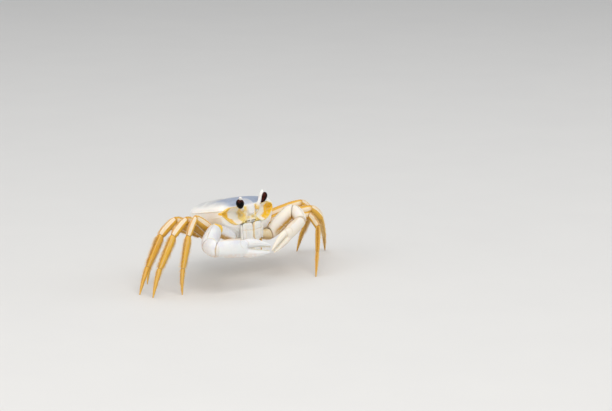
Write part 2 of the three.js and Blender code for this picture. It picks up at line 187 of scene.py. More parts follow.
class Side(Enum):
    """The crab's own left and right."""

    LEFT = "left"
    RIGHT = "right"

    @property
    def sign(self) -> int:
        """Gives +1 on the left and -1 on the right."""
        return 1 if self is Side.LEFT else -1

    def in_trunk(self, front: float, out: float, up: float) -> Array:
        """Gives front, out and up on this side as a vector in the trunk's own frame."""
        return np.array([self.sign * out, -front, up])

    def heading(self, turn: float, rise: float) -> Array:
        """Gives the way that a piece points.

        Args:
            turn: degrees from straight out sideways towards the front.
            rise: degrees above level.

        Returns:
            A vector of length 1.
        """
        level = math.cos(math.radians(rise))
        out = self.sign * math.cos(math.radians(turn)) * level
        return np.array([out, -math.sin(math.radians(turn)) * level, math.sin(math.radians(rise))])


def piece_frame(start: Array, along: Array, edge: Array, roll: float = 0.0) -> Array:
    """Makes a frame with x along a piece and z as near as can be to the way that its outer edge faces.

    Args:
        start: the frame's origin.
        along: the way that the piece points.
        edge: the way that its outer edge faces.
        roll: degrees of turn about x.

    Returns:
        The 4 by 4 matrix of the frame.
    """
    x = unit(along)
    y = unit(np.cross(edge, x))
    made = np.eye(4)
    made[:3, :3] = np.column_stack([x, y, np.cross(x, y)])
    made = made @ turned("x", roll)
    made[:3, 3] = start
    return made


# ---------- closed surfaces


@dataclass
class Surface:
    """A closed shell in the making: points in millimetres, faces, a UV corner for each, and named masks."""

    points: Array
    faces: list[tuple[int, ...]]
    corners: list[tuple[tuple[float, float], ...]]
    masks: Masks = field(default_factory=dict)

    def moved(self, matrix: Array) -> "Surface":
        """Gives the surface moved by a 4 by 4 matrix."""
        return Surface(placed(self.points, matrix), self.faces, self.corners, self.masks)

    def outward(self) -> "Surface":
        """Gives the surface with its faces pointing out, which is where the volume inside is above 0.

        Returns:
            This surface, or one with its faces turned round.
        """
        fans = np.array([(f[0], f[i], f[i + 1]) for f in self.faces for i in range(1, len(f) - 1)])
        a, b, c = (self.points[fans[:, i]] for i in range(3))
        if np.einsum("ij,ij->", a, np.cross(b, c)) >= 0:
            return self
        faces = [face[::-1] for face in self.faces]
        corners = [corner[::-1] for corner in self.corners]
        return Surface(self.points, faces, corners, self.masks)

    def mesh(self, name: str) -> bpy.types.Mesh:
        """Makes the mesh, in metres, with its UV map and a point attribute for each mask.

        Args:
            name: the mesh's name.

        Returns:
            The new mesh.
        """
        made = self.outward()
        mesh = bpy.data.meshes.new(name)
        mesh.from_pydata((made.points * METRE).tolist(), [], made.faces)
        flat = np.array([value for corner in made.corners for pair in corner for value in pair])
        mesh.uv_layers.new(name="Unwrap").data.foreach_set("uv", flat)
        store_masks(mesh, made.masks)
        mesh.shade_smooth()
        mesh.update()
        return mesh


def store_masks(mesh: bpy.types.Mesh, masks: Masks) -> None:
    """Gives a mesh a point attribute for each mask.

    Args:
        mesh: the mesh.
        masks: a number or a vector for each of its points, by name.
    """
    for key, values in masks.items():
        kind, target = ("FLOAT_VECTOR", "vector") if values.ndim == 2 else ("FLOAT", "value")
        mesh.attributes.new(key, kind, "POINT").data.foreach_set(target, values.astype(np.float32).ravel())


def closed_grid(shares: Array, angles: Array, shape: Shaper, tile: tuple[int, int] = (0, 1)) -> Surface:
    """Closes a grid of rings between two poles.

    Args:
        shares: the places of the poles and of the rings between them, from 0 to 1.
        angles: the angles round each ring, in radians, without a repeat of the first one.
        shape: gives the points and the masks for shares and angles.
        tile: which column of the unwrap the surface takes, and out of how many.

    Returns:
        The surface, whose unwrap runs along u within its column and round the rings along v.
    """
    rows, columns = len(shares) - 2, len(angles)
    grid = np.meshgrid(shares[1:-1], angles, indexing="ij")
    share = np.concatenate([[shares[0]], grid[0].ravel(), [shares[-1]]])
    angle = np.concatenate([[angles[0]], grid[1].ravel(), [angles[0]]])
    run = (tile[0] + shares) / tile[1]
    between = 1 + np.arange(rows * columns).reshape(rows, columns)
    number = [[0] * columns, *between.tolist(), [rows * columns + 1] * columns]
    faces: list[tuple[int, ...]] = []
    corners: list[tuple[tuple[float, float], ...]] = []
    for c in range(columns):
        for r in range(rows + 1):
            ring = [(r, c), (r, c + 1), (r + 1, c + 1), (r + 1, c)]
            if r in (0, rows):
                del ring[1 if r == 0 else 2]
            faces.append(tuple(number[i][j % columns] for i, j in ring))
            corners.append(tuple((run[i], j / columns) for i, j in ring))
    points, masks = shape(share, angle)
    return Surface(points, faces, corners, masks)


def tube(rows: int, columns: int, shape: Shaper, tile: tuple[int, int] = (0, 1)) -> Surface:
    """Closes a round form with this many rings and points round each, its rings crowded towards its ends."""
    shares = 0.5 - 0.5 * np.cos(np.linspace(0.0, math.pi, rows))
    return closed_grid(shares, np.linspace(0.0, 2 * math.pi, columns, endpoint=False), shape, tile)


def pressed(points: Array, normal: Array, level: float, push: Array, soft: float) -> Array:
    """Presses what lies below a plane back onto it, with a rounded edge.

    Args:
        points: the points to press.
        normal: the plane's normal, on the side that is kept.
        level: the plane's distance from the origin along its normal.
        push: the way that points are moved.
        soft: how far the rounding reaches, in millimetres.

    Returns:
        The points, none of them below the plane.
    """
    height = points @ normal - level
    kept = soft * np.logaddexp(0.0, height / soft)
    return points + np.outer((kept - height) / float(push @ normal), push)


def joined(surfaces: Sequence[Surface]) -> Surface:
    """Puts surfaces that keep their own shapes into one.

    Args:
        surfaces: the surfaces, all with the same masks.

    Returns:
        One surface.
    """
    points, faces, corners = [], [], []
    start = 0
    for surface in (made.outward() for made in surfaces):
        points.append(surface.points)
        faces += [tuple(start + i for i in face) for face in surface.faces]
        corners += surface.corners
        start += len(surface.points)
    masks = {key: np.concatenate([made.masks[key] for made in surfaces]) for key in surfaces[0].masks}
    return Surface(np.vstack(points), faces, corners, masks)


# ---------- node graphs

Wired = Union["Value", Link, float, tuple, int, bool, str]


class Graph:
    """A node tree that is built by naming nodes, their settings and what goes into their sockets."""

    def __init__(self, tree: bpy.types.NodeTree) -> None:
        """Starts with an existing tree."""
        self.tree = tree

    def add(self, kind: str, settings: Optional[dict[str, object]] = None,
            inputs: Optional[dict[Union[str, int], Wired]] = None) -> bpy.types.Node:
        """Adds one node.

        Args:
            kind: the node's type.
            settings: the node's own properties, which are set first.
            inputs: a value or a link for each input, by the socket's name or its number.

        Returns:
            The new node.
        """
        node = self.tree.nodes.new(kind)
        for key, value in (settings or {}).items():
            setattr(node, key, value)
        for key, value in (inputs or {}).items():
            self.wire(node.inputs[key], value)
        return node

    def out(self, *node: object) -> Link:
        """Adds one node, given as add takes it, and gives its first output."""
        return self.add(*node).outputs[0]

    def wire(self, socket: Link, value: Wired) -> None:
        """Links or sets one input.

        Args:
            socket: the input.
            value: what goes into it.
        """
        if isinstance(value, Value):
            value = value.socket
        if isinstance(value, Link):
            self.tree.links.new(value, socket)
        else:
            socket.default_value = value

    def math(self, operation: str, *inputs: Wired) -> "Value":
        """Adds one Math node of an operation."""
        return Value(self, self.out("ShaderNodeMath", {"operation": operation}, dict(enumerate(inputs))))


class Value:
    """A number that changes from place to place. Arithmetic on it adds Math nodes to its graph."""

    def __init__(self, graph: Graph, socket: Link) -> None:
        """Wraps an output socket."""
        self.graph, self.socket = graph, socket

    def __add__(self, other: Wired) -> "Value":
        """Adds."""
        return self.graph.math("ADD", self, other)

    def __sub__(self, other: Wired) -> "Value":
        """Subtracts."""
        return self.graph.math("SUBTRACT", self, other)

    def __rsub__(self, other: Wired) -> "Value":
        """Subtracts from a number."""
        return self.graph.math("SUBTRACT", other, self)

    def __mul__(self, other: Wired) -> "Value":
        """Multiplies."""
        return self.graph.math("MULTIPLY", self, other)

    def __pow__(self, other: Wired) -> "Value":
        """Raises to a power."""
        return self.graph.math("POWER", self, other)

    __radd__ = __add__
    __rmul__ = __mul__

    def ramp(self, low: float, high: float) -> "Value":
        """Rises smoothly along a ramp.

        Args:
            low: where it is 0.
            high: where it is 1, which may be below low.

        Returns:
            The number between 0 and 1.
        """
        first, last, start, end = (low, high, 0.0, 1.0) if low < high else (high, low, 1.0, 0.0)
        inputs = {"Value": self, "From Min": first, "From Max": last, "To Min": start, "To Max": end}
        settings = {"interpolation_type": "SMOOTHSTEP"}
        return Value(self.graph, self.graph.out("ShaderNodeMapRange", settings, inputs))


class Paint(Graph):
    """A material under construction, with one Principled surface."""

    def __init__(self, name: str) -> None:
        """Makes an empty material.

        Args:
            name: the material's name.
        """
        self.material = bpy.data.materials.new(name)
        self.material.use_nodes = True
        super().__init__(self.material.node_tree)
        self.tree.nodes.clear()
        self.place = self.add("ShaderNodeTexCoord").outputs["Object"]

    def mask(self, name: str) -> Value:
        """Reads a point attribute of the piece."""
        return Value(self, self.add("ShaderNodeAttribute", {"attribute_name": name}).outputs["Fac"])

    def noise(self, millimetres: float, detail: float = 3.0) -> Value:
        """Adds clouds of this size in Object coordinates, around 0.5, with this many finer layers."""
        inputs = {"Scale": 1.0 / (millimetres * METRE), "Detail": detail, "Roughness": 0.55}
        return self.clouds(self.place, **inputs)

    def clouds(self, place: Link, **inputs: float) -> Value:
        """Adds a Noise Texture, read at a place."""
        return Value(self, self.add("ShaderNodeTexNoise", None, {"Vector": place, **inputs}).outputs["Fac"])

    def streaks(self, along: float, around: float, detail: float = 2.0) -> Value:
        """Adds clouds on the piece's own unwrap, drawn out along it.

        Args:
            along: how many there are along the unwrap.
            around: how many there are round the piece.
            detail: how many finer layers there are.

        Returns:
            The streaks.
        """
        unwrap = self.out("ShaderNodeUVMap", {"uv_map": "Unwrap"})
        drawn = self.out("ShaderNodeMapping", None, {"Vector": unwrap, "Scale": (along, around, 1.0)})
        return self.clouds(drawn, Scale=1.0, Detail=detail)

    def grains(self, millimetres: float) -> Value:
        """Adds round grains in Object coordinates, which are 1 at their middles.

        Args:
            millimetres: the distance between grains.

        Returns:
            The grains.
        """
        inputs = {"Vector": self.place, "Scale": 1.0 / (millimetres * METRE)}
        node = self.add("ShaderNodeTexVoronoi", {"feature": "F1"}, inputs)
        return Value(self, node.outputs["Distance"]).ramp(0.62, 0.05)

    def coated(self, base: Colour, *coats: tuple[Colour, Wired]) -> Link:
        """Lays colours over a base, one after the other.

        Args:
            base: the lowest colour.
            coats: each further colour, and how much of it shows, which is held between 0 and 1.

        Returns:
            The mixed colour.
        """
        below: Wired = (*base, 1.0)
        for colour, share in coats:
            settings = {"data_type": "RGBA", "clamp_factor": True}
            below = self.add("ShaderNodeMix", settings, {0: share, 6: below, 7: (*colour, 1.0)}).outputs[2]
        return below

    def bump(self, height: Value, millimetres: float, strength: float) -> Link:
        """Turns a height from 0 to 1 into a bump of that many millimetres."""
        inputs = {"Height": height, "Distance": millimetres * METRE, "Strength": strength}
        return self.out("ShaderNodeBump", None, inputs)

    def finish(self, **inputs: Wired) -> Material:
        """Adds the surface and the output.

        Args:
            inputs: the Principled surface's inputs, with underscores for spaces.

        Returns:
            The finished material.
        """
        named = {key.replace("_", " "): value for key, value in inputs.items()}
        surface = self.out("ShaderNodeBsdfPrincipled", None, named)
        self.add("ShaderNodeOutputMaterial", None, {"Surface": surface})
        return self.material

    def shell(self, colour: Link, rough: Wired, bump: Link) -> Material:
        """Finishes a shell or skin, which glows a little with the light inside it."""
        glow = {"Subsurface_Weight": 0.12, "Subsurface_Radius": (1.0, 0.55, 0.3), "Subsurface_Scale": 0.0012}
        return self.finish(Base_Color=colour, Roughness=rough, Normal=bump, **glow)


# ---------- finishes


class Finish(Protocol):
    """What a material is painted from."""

    def paint(self, name: str) -> Material:
        """Makes the material under a name."""


@dataclass(frozen=True)
class CarapaceFinish:
    """Cream flanks, a blue-grey back, bright yellow about the eye sockets, and fine granules all over;
    painted shadow in the mouth slits, painted shade low on the face, and eye sockets painted pale, partly as
    painted light.
    """

    flank: Colour = (0.90, 0.87, 0.825)
    dome: Colour = (0.61, 0.605, 0.595)
    back: Colour = (0.30, 0.355, 0.475)
    bloom: Colour = (0.45, 0.485, 0.56)
    mottle: Colour = (0.50, 0.45, 0.42)
    yellow: Colour = (0.93, 0.56, 0.01)
    pale_yellow: Colour = (0.93, 0.73, 0.24)
    # The hollows' own pale tone, painted lighter still: painted light that lifts the shade inside the eye
    # sockets.
    hollow: Colour = (0.90, 0.89, 0.82)
    # Grey low on the face is painted shade; it also greys the rostrum.
    cheek: Colour = (0.76, 0.74, 0.70)
    # Near-black brown in the mouth slits: painted shadow.
    slit: Colour = (0.17, 0.10, 0.05)

    def paint(self, name: str) -> Material:
        """Makes the material from the masks of the trunk's face and back.

        Args:
            name: the material's name.

        Returns:
            The material.
        """
        paint = Paint(name)
        mask = paint.mask
        clouds = paint.noise(7.0, 4.0)
        blotch = paint.noise(1.6).ramp(0.35, 0.6)
        specks = paint.grains(0.5) * paint.noise(2.2).ramp(0.45, 0.62)
        ragged = (paint.noise(2.4, 4.0) - 0.5) * 0.9
        inner = (mask("inner_rim") + ragged).ramp(0.1, 0.95) * mask("inner_rim").ramp(0.0, 0.15)
        rim = (mask("rim") + ragged).ramp(0.15, 0.85) * mask("rim").ramp(0.0, 0.15)
        colour = paint.coated(
            self.flank,
            (self.dome, mask("dome") * clouds.ramp(0.15, 0.6)),
            (self.back, mask("back") * clouds.ramp(0.1, 0.42)),
            (self.bloom, mask("back") * paint.noise(1.3, 4.0).ramp(0.45, 0.68) * 0.45),
            (self.mottle, mask("marks") * paint.noise(3.2, 5.0).ramp(0.46, 0.62) * 0.4),
            (self.mottle, specks * mask("marks") * 0.35),
            # Darker grey low on the face: painted shade; greyer on the rostrum.
            (self.cheek, mask("cheek") * clouds.ramp(0.1, 0.7)),
            # Pale eye-socket hollows: their own colour, and painted light that lifts the shade inside them.
            (self.hollow, mask("hollow")),
            (self.pale_yellow, inner * (blotch * 0.6 + 0.4)),
            (self.yellow, mask("inner_rim") * paint.noise(0.9).ramp(0.5, 0.66) * 0.7),
            (self.yellow, rim * (blotch * 0.25 + 0.75)),
            (self.pale_yellow, mask("lip") * (blotch * 0.7 + 0.3)),
            # Near-black brown in the mouth slits: painted shadow.
            (self.slit, mask("slit")),
        )
        relief = paint.grains(0.55) * 0.6 + paint.grains(1.1) * 0.4 + paint.noise(0.25, 2.0) * 0.3
        return paint.shell(colour, 0.36 + 0.22 * paint.noise(1.5), paint.bump(relief, 0.09, 0.55))


@dataclass(frozen=True)
class LegFinish:
    """Amber legs with an orange crest, pale bands where the mask pale is high, which are partly their own
    colour and partly painted highlight, darker fibres, and painted shade along their undersides.
    """

    amber: Colour = (0.80, 0.46, 0.045)
    pale_band_and_highlight: Colour = (0.90, 0.79, 0.62)
    crest: Colour = (0.64, 0.30, 0.012)
    # Dark brown for the darker fibres, and painted shade on the undersides.
    deep: Colour = (0.34, 0.14, 0.008)

    def paint(self, name: str) -> Material:
        """Makes the material from the masks along, high and pale, and from streaks on the unwrap.

        Args:
            name: the material's name.

        Returns:
            The material.
        """
        paint = Paint(name)
        along = paint.mask("along")
        fibres = paint.streaks(11.0, 52.0)
        wisps = paint.streaks(26.0, 90.0, 3.0)
        wavy = paint.mask("high") + (fibres - 0.5) * 0.5
        pale = (paint.mask("pale") + (fibres - 0.5) * 0.9).ramp(0.22, 0.62) * along.ramp(0.02, 0.1)
        joints = 1.0 - along.ramp(0.0, 0.07) * along.ramp(1.0, 0.93)
        colour = paint.coated(
            self.amber,
            (self.crest, fibres.ramp(0.5, 0.68) * 0.75),
            # Pale bands: partly the legs' own colour, partly painted highlight.
            (self.pale_band_and_highlight, pale * along.ramp(0.99, 0.9) * (wisps * 0.6 + 0.6)),
            (self.crest, wavy.ramp(0.84, 0.98) * 0.8),
            # Darker along the underside: painted shade.
            (self.deep, wavy.ramp(-0.35, -0.95) * 0.55),
            (self.crest, joints * 0.7),
            (self.deep, wisps.ramp(0.6, 0.74) * 0.35),
        )
        relief = paint.streaks(3.0, 60.0) * 0.6 + wisps * 0.3 + paint.grains(0.4) * 0.3
        return paint.shell(colour, 0.42 + 0.25 * paint.noise(0.9), paint.bump(relief, 0.07, 0.65))


@dataclass(frozen=True)
class ClawFinish:
    """Porcelain claw arms with yellow ridges, brown joints, a faint lilac bloom, and painted shade along
    their undersides and under the coxa.
    """

    white: Colour = (0.82, 0.82, 0.805)
    bloom: Colour = (0.70, 0.695, 0.75)
    ridge: Colour = (0.72, 0.40, 0.05)
    # Pinkish colour on the claws' undersides: painted shade.
    brown: Colour = (0.46, 0.25, 0.07)
    underside_shade: Colour = (0.80, 0.68, 0.60)
    collar: Colour = (0.86, 0.55, 0.05)

    def paint(self, name: str) -> Material:
        """Makes the material from the masks ridge, collar, joint, bloom and low, where low is painted shade
        underneath and joint also holds painted shade under the coxa.

        Args:
            name: the material's name.

        Returns:
            The material.
        """
        paint = Paint(name)
        mask = paint.mask
        edge = paint.noise(1.2).ramp(0.2, 0.5)
        ragged = (mask("collar") + (paint.noise(1.6, 4.0) - 0.5) * 0.9).ramp(0.35, 0.75)
        colour = paint.coated(
            self.white,
            (self.bloom, mask("bloom") * paint.noise(5.0).ramp(0.3, 0.65) * 0.8),
            # Pinkish on the undersides: painted shade.
            (self.underside_shade, mask("low") * paint.noise(3.0).ramp(0.3, 0.6) * 0.75),
            (self.ridge, mask("ridge") * edge),
            # Brown at the joints, and painted shade under the right claw's coxa.
            (self.brown, mask("joint") * edge * 0.7),
            (self.collar, ragged * mask("collar").ramp(0.0, 0.1)),
        )
        relief = paint.grains(0.55) * 0.5 + paint.grains(1.4) * 0.4 + paint.noise(2.4) * 0.8
        return paint.shell(colour, 0.34 + 0.22 * paint.noise(1.2), paint.bump(relief, 0.13, 0.6))


@dataclass(frozen=True)
class PlainFinish:
    """One colour clouded by another, with fine grains, and a third colour where a mask is high."""

    colour: Colour
    cloud: Colour
    clouds: float = 3.0
    rough: float = 0.4
    grain: float = 0.5
    mask: str = ""
    masked: Colour = (0.5, 0.5, 0.5)

    def paint(self, name: str) -> Material:
        """Makes the material.

        Args:
            name: the material's name.

        Returns:
            The material.
        """
        paint = Paint(name)
        coats = [(self.cloud, paint.noise(self.clouds, 4.0).ramp(0.38, 0.66))]
        if self.mask:
            coats.append((self.masked, paint.mask(self.mask) * (0.7 + 0.3 * paint.noise(0.8))))
        relief = paint.grains(self.grain) * 0.6 + paint.noise(self.grain * 0.5, 2.0) * 0.4
        rough = self.rough + 0.2 * (paint.noise(1.1) - 0.5)
        return paint.shell(paint.coated(self.colour, *coats), rough, paint.bump(relief, 0.05, 0.6))


@dataclass(frozen=True)
class CorneaFinish:
    """A wet, near-black compound eye that shows a deep red-brown towards its inner margin."""

    black: Colour = (0.002, 0.0012, 0.0012)
    brown: Colour = (0.052, 0.007, 0.003)
    facet: float = 0.14

    def paint(self, name: str) -> Material:
        """Makes the material from the mask inner.

        Args:
            name: the material's name.

        Returns:
            The material.
        """
        paint = Paint(name)
        inner = paint.mask("inner") * paint.noise(1.5).ramp(0.2, 0.55)
        colour = paint.coated(self.black, (self.brown, inner))
        bump = paint.bump(paint.grains(self.facet), 0.008, 0.35)
        gloss = {"Specular_IOR_Level": 0.05, "Coat_Weight": 0.05, "Coat_Roughness": 0.05}
        return paint.finish(Base_Color=colour, Roughness=0.2 + 0.1 * paint.noise(0.8), Normal=bump, **gloss)


@dataclass(frozen=True)
class HairFinish:
    """Golden hairs that pale towards their tips."""

    root: Colour = (0.78, 0.46, 0.08)
    tip: Colour = (0.93, 0.74, 0.40)

    def paint(self, name: str) -> Material:
        """Makes the material from the attribute tip, which runs from 0 at the root to 1.

        Args:
            name: the material's name.

        Returns:
            The material.
        """
        paint = Paint(name)
        colour = paint.coated(self.root, (self.tip, paint.mask("tip") + (paint.noise(0.8) - 0.5) * 0.6))
        return paint.finish(Base_Color=colour, Roughness=0.45 + 0.1 * paint.noise(0.5))


@dataclass(frozen=True)
class FloorFinish:
    """A plain pale floor with a trace of tone."""

    pale: Colour = (0.74, 0.73, 0.71)
    shade: Colour = (0.71, 0.70, 0.685)

    def paint(self, name: str) -> Material:
        """Makes the material.

        Args:
            name: the material's name.

        Returns:
            The material.
        """
        paint = Paint(name)
        colour = paint.coated(self.pale, (self.shade, paint.noise(60.0)))
        return paint.finish(Base_Color=colour, Roughness=0.7)


YELLOW = (0.80, 0.52, 0.10)
FINISHES: dict[str, Finish] = {
    "carapace": CarapaceFinish(),
    "breast": PlainFinish((0.84, 0.80, 0.72), (0.76, 0.70, 0.60), mask="seam", masked=(0.52, 0.38, 0.22)),
    "mouth": PlainFinish((0.84, 0.82, 0.77), (0.74, 0.73, 0.70), mask="seam", masked=YELLOW),
    "stalk": PlainFinish((0.86, 0.84, 0.80), (0.78, 0.76, 0.74), mask="base", masked=YELLOW),
    "cornea": CorneaFinish(),
    "leg": LegFinish(),
    "claw": ClawFinish(),
    "cream_claw": ClawFinish(white=(0.87, 0.80, 0.68), bloom=(0.83, 0.80, 0.77), ridge=(0.60, 0.32, 0.04)),
    # Its masked brown is the dark joints, and painted shade under the left claw's coxa.
    "coxa": PlainFinish((0.80, 0.68, 0.48), (0.76, 0.58, 0.30), mask="joint", masked=(0.50, 0.30, 0.10)),
    "membrane": PlainFinish((0.42, 0.22, 0.06), (0.56, 0.34, 0.13), clouds=1.0, rough=0.6),
    "soft_skin": PlainFinish((0.74, 0.62, 0.44), (0.62, 0.46, 0.26), clouds=1.0, rough=0.6),
    "hair": HairFinish(),
    "bead": PlainFinish((0.87, 0.83, 0.75), (0.84, 0.76, 0.60), clouds=2.0, rough=0.36),
    "socket_bead": PlainFinish((0.90, 0.64, 0.14), (0.90, 0.76, 0.42), clouds=1.5, rough=0.36),
    "tooth": PlainFinish((0.88, 0.84, 0.74), (0.80, 0.70, 0.50), clouds=1.5, rough=0.3),
}


# ---------- what repeats


class Grain(Enum):
    """What stands in a row."""

    BEAD = "bead"
    TOOTH = "tooth"


class GeometryTree(Graph):
    """A Geometry Nodes tree with named inputs, which ends in realized instances and a material."""

    def __init__(self, name: str, **sizes: float) -> None:
        """Makes the tree and its group sockets, among them a seed and a material.

        Args:
            name: the tree's name.
            sizes: the name and the first value of each other input.
        """
        super().__init__(bpy.data.node_groups.new(name, "GeometryNodeTree"))
        self.socket("Geometry", "Geometry")
        for key, value in sizes.items():
            self.socket(key, "Float").default_value = value
        self.socket("Seed", "Int").default_value = 1
        self.socket("Material", "Material")
        self.socket("Geometry", "Geometry", "OUTPUT")
        given = self.add("NodeGroupInput").outputs
        self.geometry, self.seed, self.material = given["Geometry"], given["Seed"], given["Material"]
        self.given = {key: Value(self, given[key]) for key in sizes}

    def socket(self, name: str, kind: str, way: str = "INPUT") -> bpy.types.NodeTreeInterfaceSocket:
        """Adds one group socket."""
        return self.tree.interface.new_socket(name, in_out=way, socket_type=f"NodeSocket{kind}")

    def named(self, name: str) -> Value:
        """Reads a named attribute of numbers."""
        return Value(self, self.read(name, "FLOAT"))

    def named_vector(self, name: str) -> Link:
        """Reads a named attribute of vectors."""
        return self.read(name, "FLOAT_VECTOR")

    def read(self, name: str, kind: str) -> Link:
        """Adds a Named Attribute node of one kind."""
        return self.out("GeometryNodeInputNamedAttribute", {"data_type": kind}, {"Name": name})

    def between(self, low: Wired, high: Wired) -> Value:
        """Gives a random number for each point."""
        inputs = {2: low, 3: high, "Seed": self.seed}
        return Value(self, self.add("FunctionNodeRandomValue", {"data_type": "FLOAT"}, inputs).outputs[1])

    def vector(self, operation: str, *inputs: Wired) -> bpy.types.Node:
        """Adds one Vector Math node of an operation."""
        return self.add("ShaderNodeVectorMath", {"operation": operation}, dict(enumerate(inputs)))

    def xyz(self, *parts: Wired) -> Link:
        """Puts numbers together as a vector."""
        return self.out("ShaderNodeCombineXYZ", None, dict(enumerate(parts)))

    def bead(self) -> Link:
        """Makes one round bead of radius 1 with few faces."""
        return self.out("GeometryNodeMeshUVSphere", None, {"Segments": 8, "Rings": 5, "Radius": 1.0})

    def facing(self, vector: Wired) -> Link:
        """Turns z towards a vector."""
        return self.out("FunctionNodeAlignRotationToVector", {"axis": "Z"}, {"Vector": vector, "Factor": 1.0})

    def standing(self, points: Link, form: Link, rotation: Link, scale: Link) -> Link:
        """Stands a copy of one form on every point, each with its own turn and size."""
        inputs = {"Points": points, "Instance": form, "Rotation": rotation, "Scale": scale}
        return self.out("GeometryNodeInstanceOnPoints", None, inputs)

    def close(self, geometry: Link) -> None:
        """Realizes the instances, sets the material and closes the tree.

        Args:
            geometry: what the tree has made.
        """
        real = self.out("GeometryNodeRealizeInstances", None, {"Geometry": geometry})
        smooth = self.out("GeometryNodeSetShadeSmooth", None, {"Geometry": real})
        dressed = self.out("GeometryNodeSetMaterial", None, {"Geometry": smooth, "Material": self.material})
        self.add("NodeGroupOutput", None, {0: dressed})

    def grown(self, piece: Piece, **values: object) -> Piece:
        """Runs the tree on a piece and makes the result plain.

        Args:
            piece: the piece whose mesh the tree starts from.
            values: the tree's inputs.

        Returns:
            The same piece, which now holds what the tree made.
        """
        modifier = piece.modifiers.new(self.tree.name, "NODES")
        modifier.node_group = self.tree
        sockets = {item.name: item for item in self.tree.interface.items_tree if item.in_out == "INPUT"}
        for key, value in values.items():
            modifier[sockets[key].identifier] = value
        return made_plain(piece)


class RowTree(GeometryTree):
    """Stands beads or teeth along the edges of a mesh, each pointing along the attribute outward."""

    def __init__(self, grain: Grain) -> None:
        """Builds the tree.

        Args:
            grain: what stands in the row.
        """
        super().__init__(f"{grain.value}_row", Spacing=0.001, Radius=0.0004, Height=0.0004, Variation=0.3)
        spacing, radius, height, variation = self.given.values()
        curve = self.out("GeometryNodeMeshToCurve", None, {0: self.geometry})
        inputs = {"Curve": curve, "Length": spacing}
        points = self.out("GeometryNodeResampleCurve", {"mode": "LENGTH"}, inputs)
        size = self.between(1.0 - variation, 1.0 + variation)
        wide = size * radius
        form = self.bead() if grain is Grain.BEAD else self.tooth()
        facing = self.facing(self.named_vector("outward"))
        self.close(self.standing(points, form, facing, self.xyz(wide, wide, size * height)))

    def tooth(self) -> Link:
        """Makes one blunt tooth of height 1."""
        cone = {"Vertices": 7, "Side Segments": 3, "Fill Segments": 1, "Radius Top": 0.2, "Depth": 1.0}
        return self.out("GeometryNodeMeshCone", {"fill_type": "TRIANGLE_FAN"}, cone)


class ScatterTree(GeometryTree):
    """Scatters low beads over a plate where its attribute grain is high."""

    def __init__(self) -> None:
        """Builds the tree."""
        super().__init__("granule_scatter", Spacing=0.0012, Density=4000000.0, Radius=0.0003, Flatness=0.6)
        spacing, density, radius, flatness = self.given.values()
        inputs = {
            "Mesh": self.geometry,
            "Distance Min": spacing,
            "Density Max": density,
            "Density Factor": self.named("grain"),
            "Seed": self.seed,
        }
        settings = {"distribute_method": "POISSON"}
        spread = self.add("GeometryNodeDistributePointsOnFaces", settings, inputs).outputs
        size = self.between(0.55, 1.25) * radius
        scale = self.xyz(size, size, size * flatness)
        self.close(self.standing(spread["Points"], self.bead(), spread["Rotation"], scale))


class HairTree(GeometryTree):
    """Grows stiff hairs from a plate where its attribute hair is high, along its attribute lie.

    Each hair's corners in the map OFBake are a small patch at the root's place on the plate's own unwrap.
    """

    PATCH = 0.003
    BOW = 2.2

    def __init__(self) -> None:
        """Builds the tree."""
        super().__init__("hair_fringe", Density=14000000.0, Length=0.0018, Thickness=0.00005, Spread=0.25)
        density, length, thickness, spread = self.given.values()
        inputs = {"Mesh": self.geometry, "Density": self.named("hair") * density, "Seed": self.seed}
        points = self.out("GeometryNodeDistributePointsOnFaces", {"distribute_method": "RANDOM"}, inputs)
        lie = self.named_vector("lie")
        settings = {"data_type": "FLOAT_VECTOR"}
        ends = {i: self.xyz(*[spread * sign] * 3) for i, sign in enumerate((-1.0, 1.0))}
        shake = self.out("FunctionNodeRandomValue", settings, {**ends, "Seed": self.seed})
        along = self.vector("ADD", lie, shake).outputs[0]
        reach = self.vector("LENGTH", lie).outputs["Value"]
        scale = self.xyz(thickness, thickness, self.between(0.5, 1.15) * length * reach)
        self.close(self.patched(self.standing(points, self.hair(), self.facing(along), scale)))

    def stored(self, geometry: Link, name: str, kind: str, domain: str, value: Wired) -> Link:
        """Stores an attribute of one kind on a domain, and gives the geometry with it."""
        inputs = {"Geometry": geometry, "Name": name, "Value": value}
        return self.out("GeometryNodeStoreNamedAttribute", {"data_type": kind, "domain": domain}, inputs)

    def hair(self) -> Link:
        """Makes one hair of height 1 with its root at the origin, bowed a little, with the attribute tip.

        Returns:
            The hair.
        """
        sizes = {"Vertices": 4, "Side Segments": 2, "Radius Top": 0.1, "Radius Bottom": 1.0, "Depth": 1.0}
        cone = self.out("GeometryNodeMeshCone", {"fill_type": "NONE"}, sizes)
        place = self.out("GeometryNodeInputPosition")
        height = Value(self, self.add("ShaderNodeSeparateXYZ", None, {0: place}).outputs[2])
        offset = self.xyz(height**2.0 * self.BOW)
        bent = self.out("GeometryNodeSetPosition", None, {"Geometry": cone, "Offset": offset})
        return self.stored(bent, "tip", "FLOAT", "POINT", height)

    def patched(self, geometry: Link) -> Link:
        """Stores the map OFBake: the root's place on the unwrap, and a small step up the hair.

        Args:
            geometry: the hairs.

        Returns:
            The hairs with their map.
        """
        real = self.out("GeometryNodeRealizeInstances", None, {"Geometry": geometry})
        step = self.named("tip") * self.PATCH
        where = self.vector("ADD", self.named_vector("Unwrap"), self.xyz(step, step)).outputs[0]
        return self.stored(real, "OFBake", "FLOAT2", "CORNER", where)


# ---------- seating pieces on the frame


class Slot(Enum):
    """The material slots."""

    SHELL = "shell"
    BELLY = "belly"
    CLAW = "claw"
    LEG = "leg"
    CORNEA = "cornea"
    EYESTALK = "eyestalk"


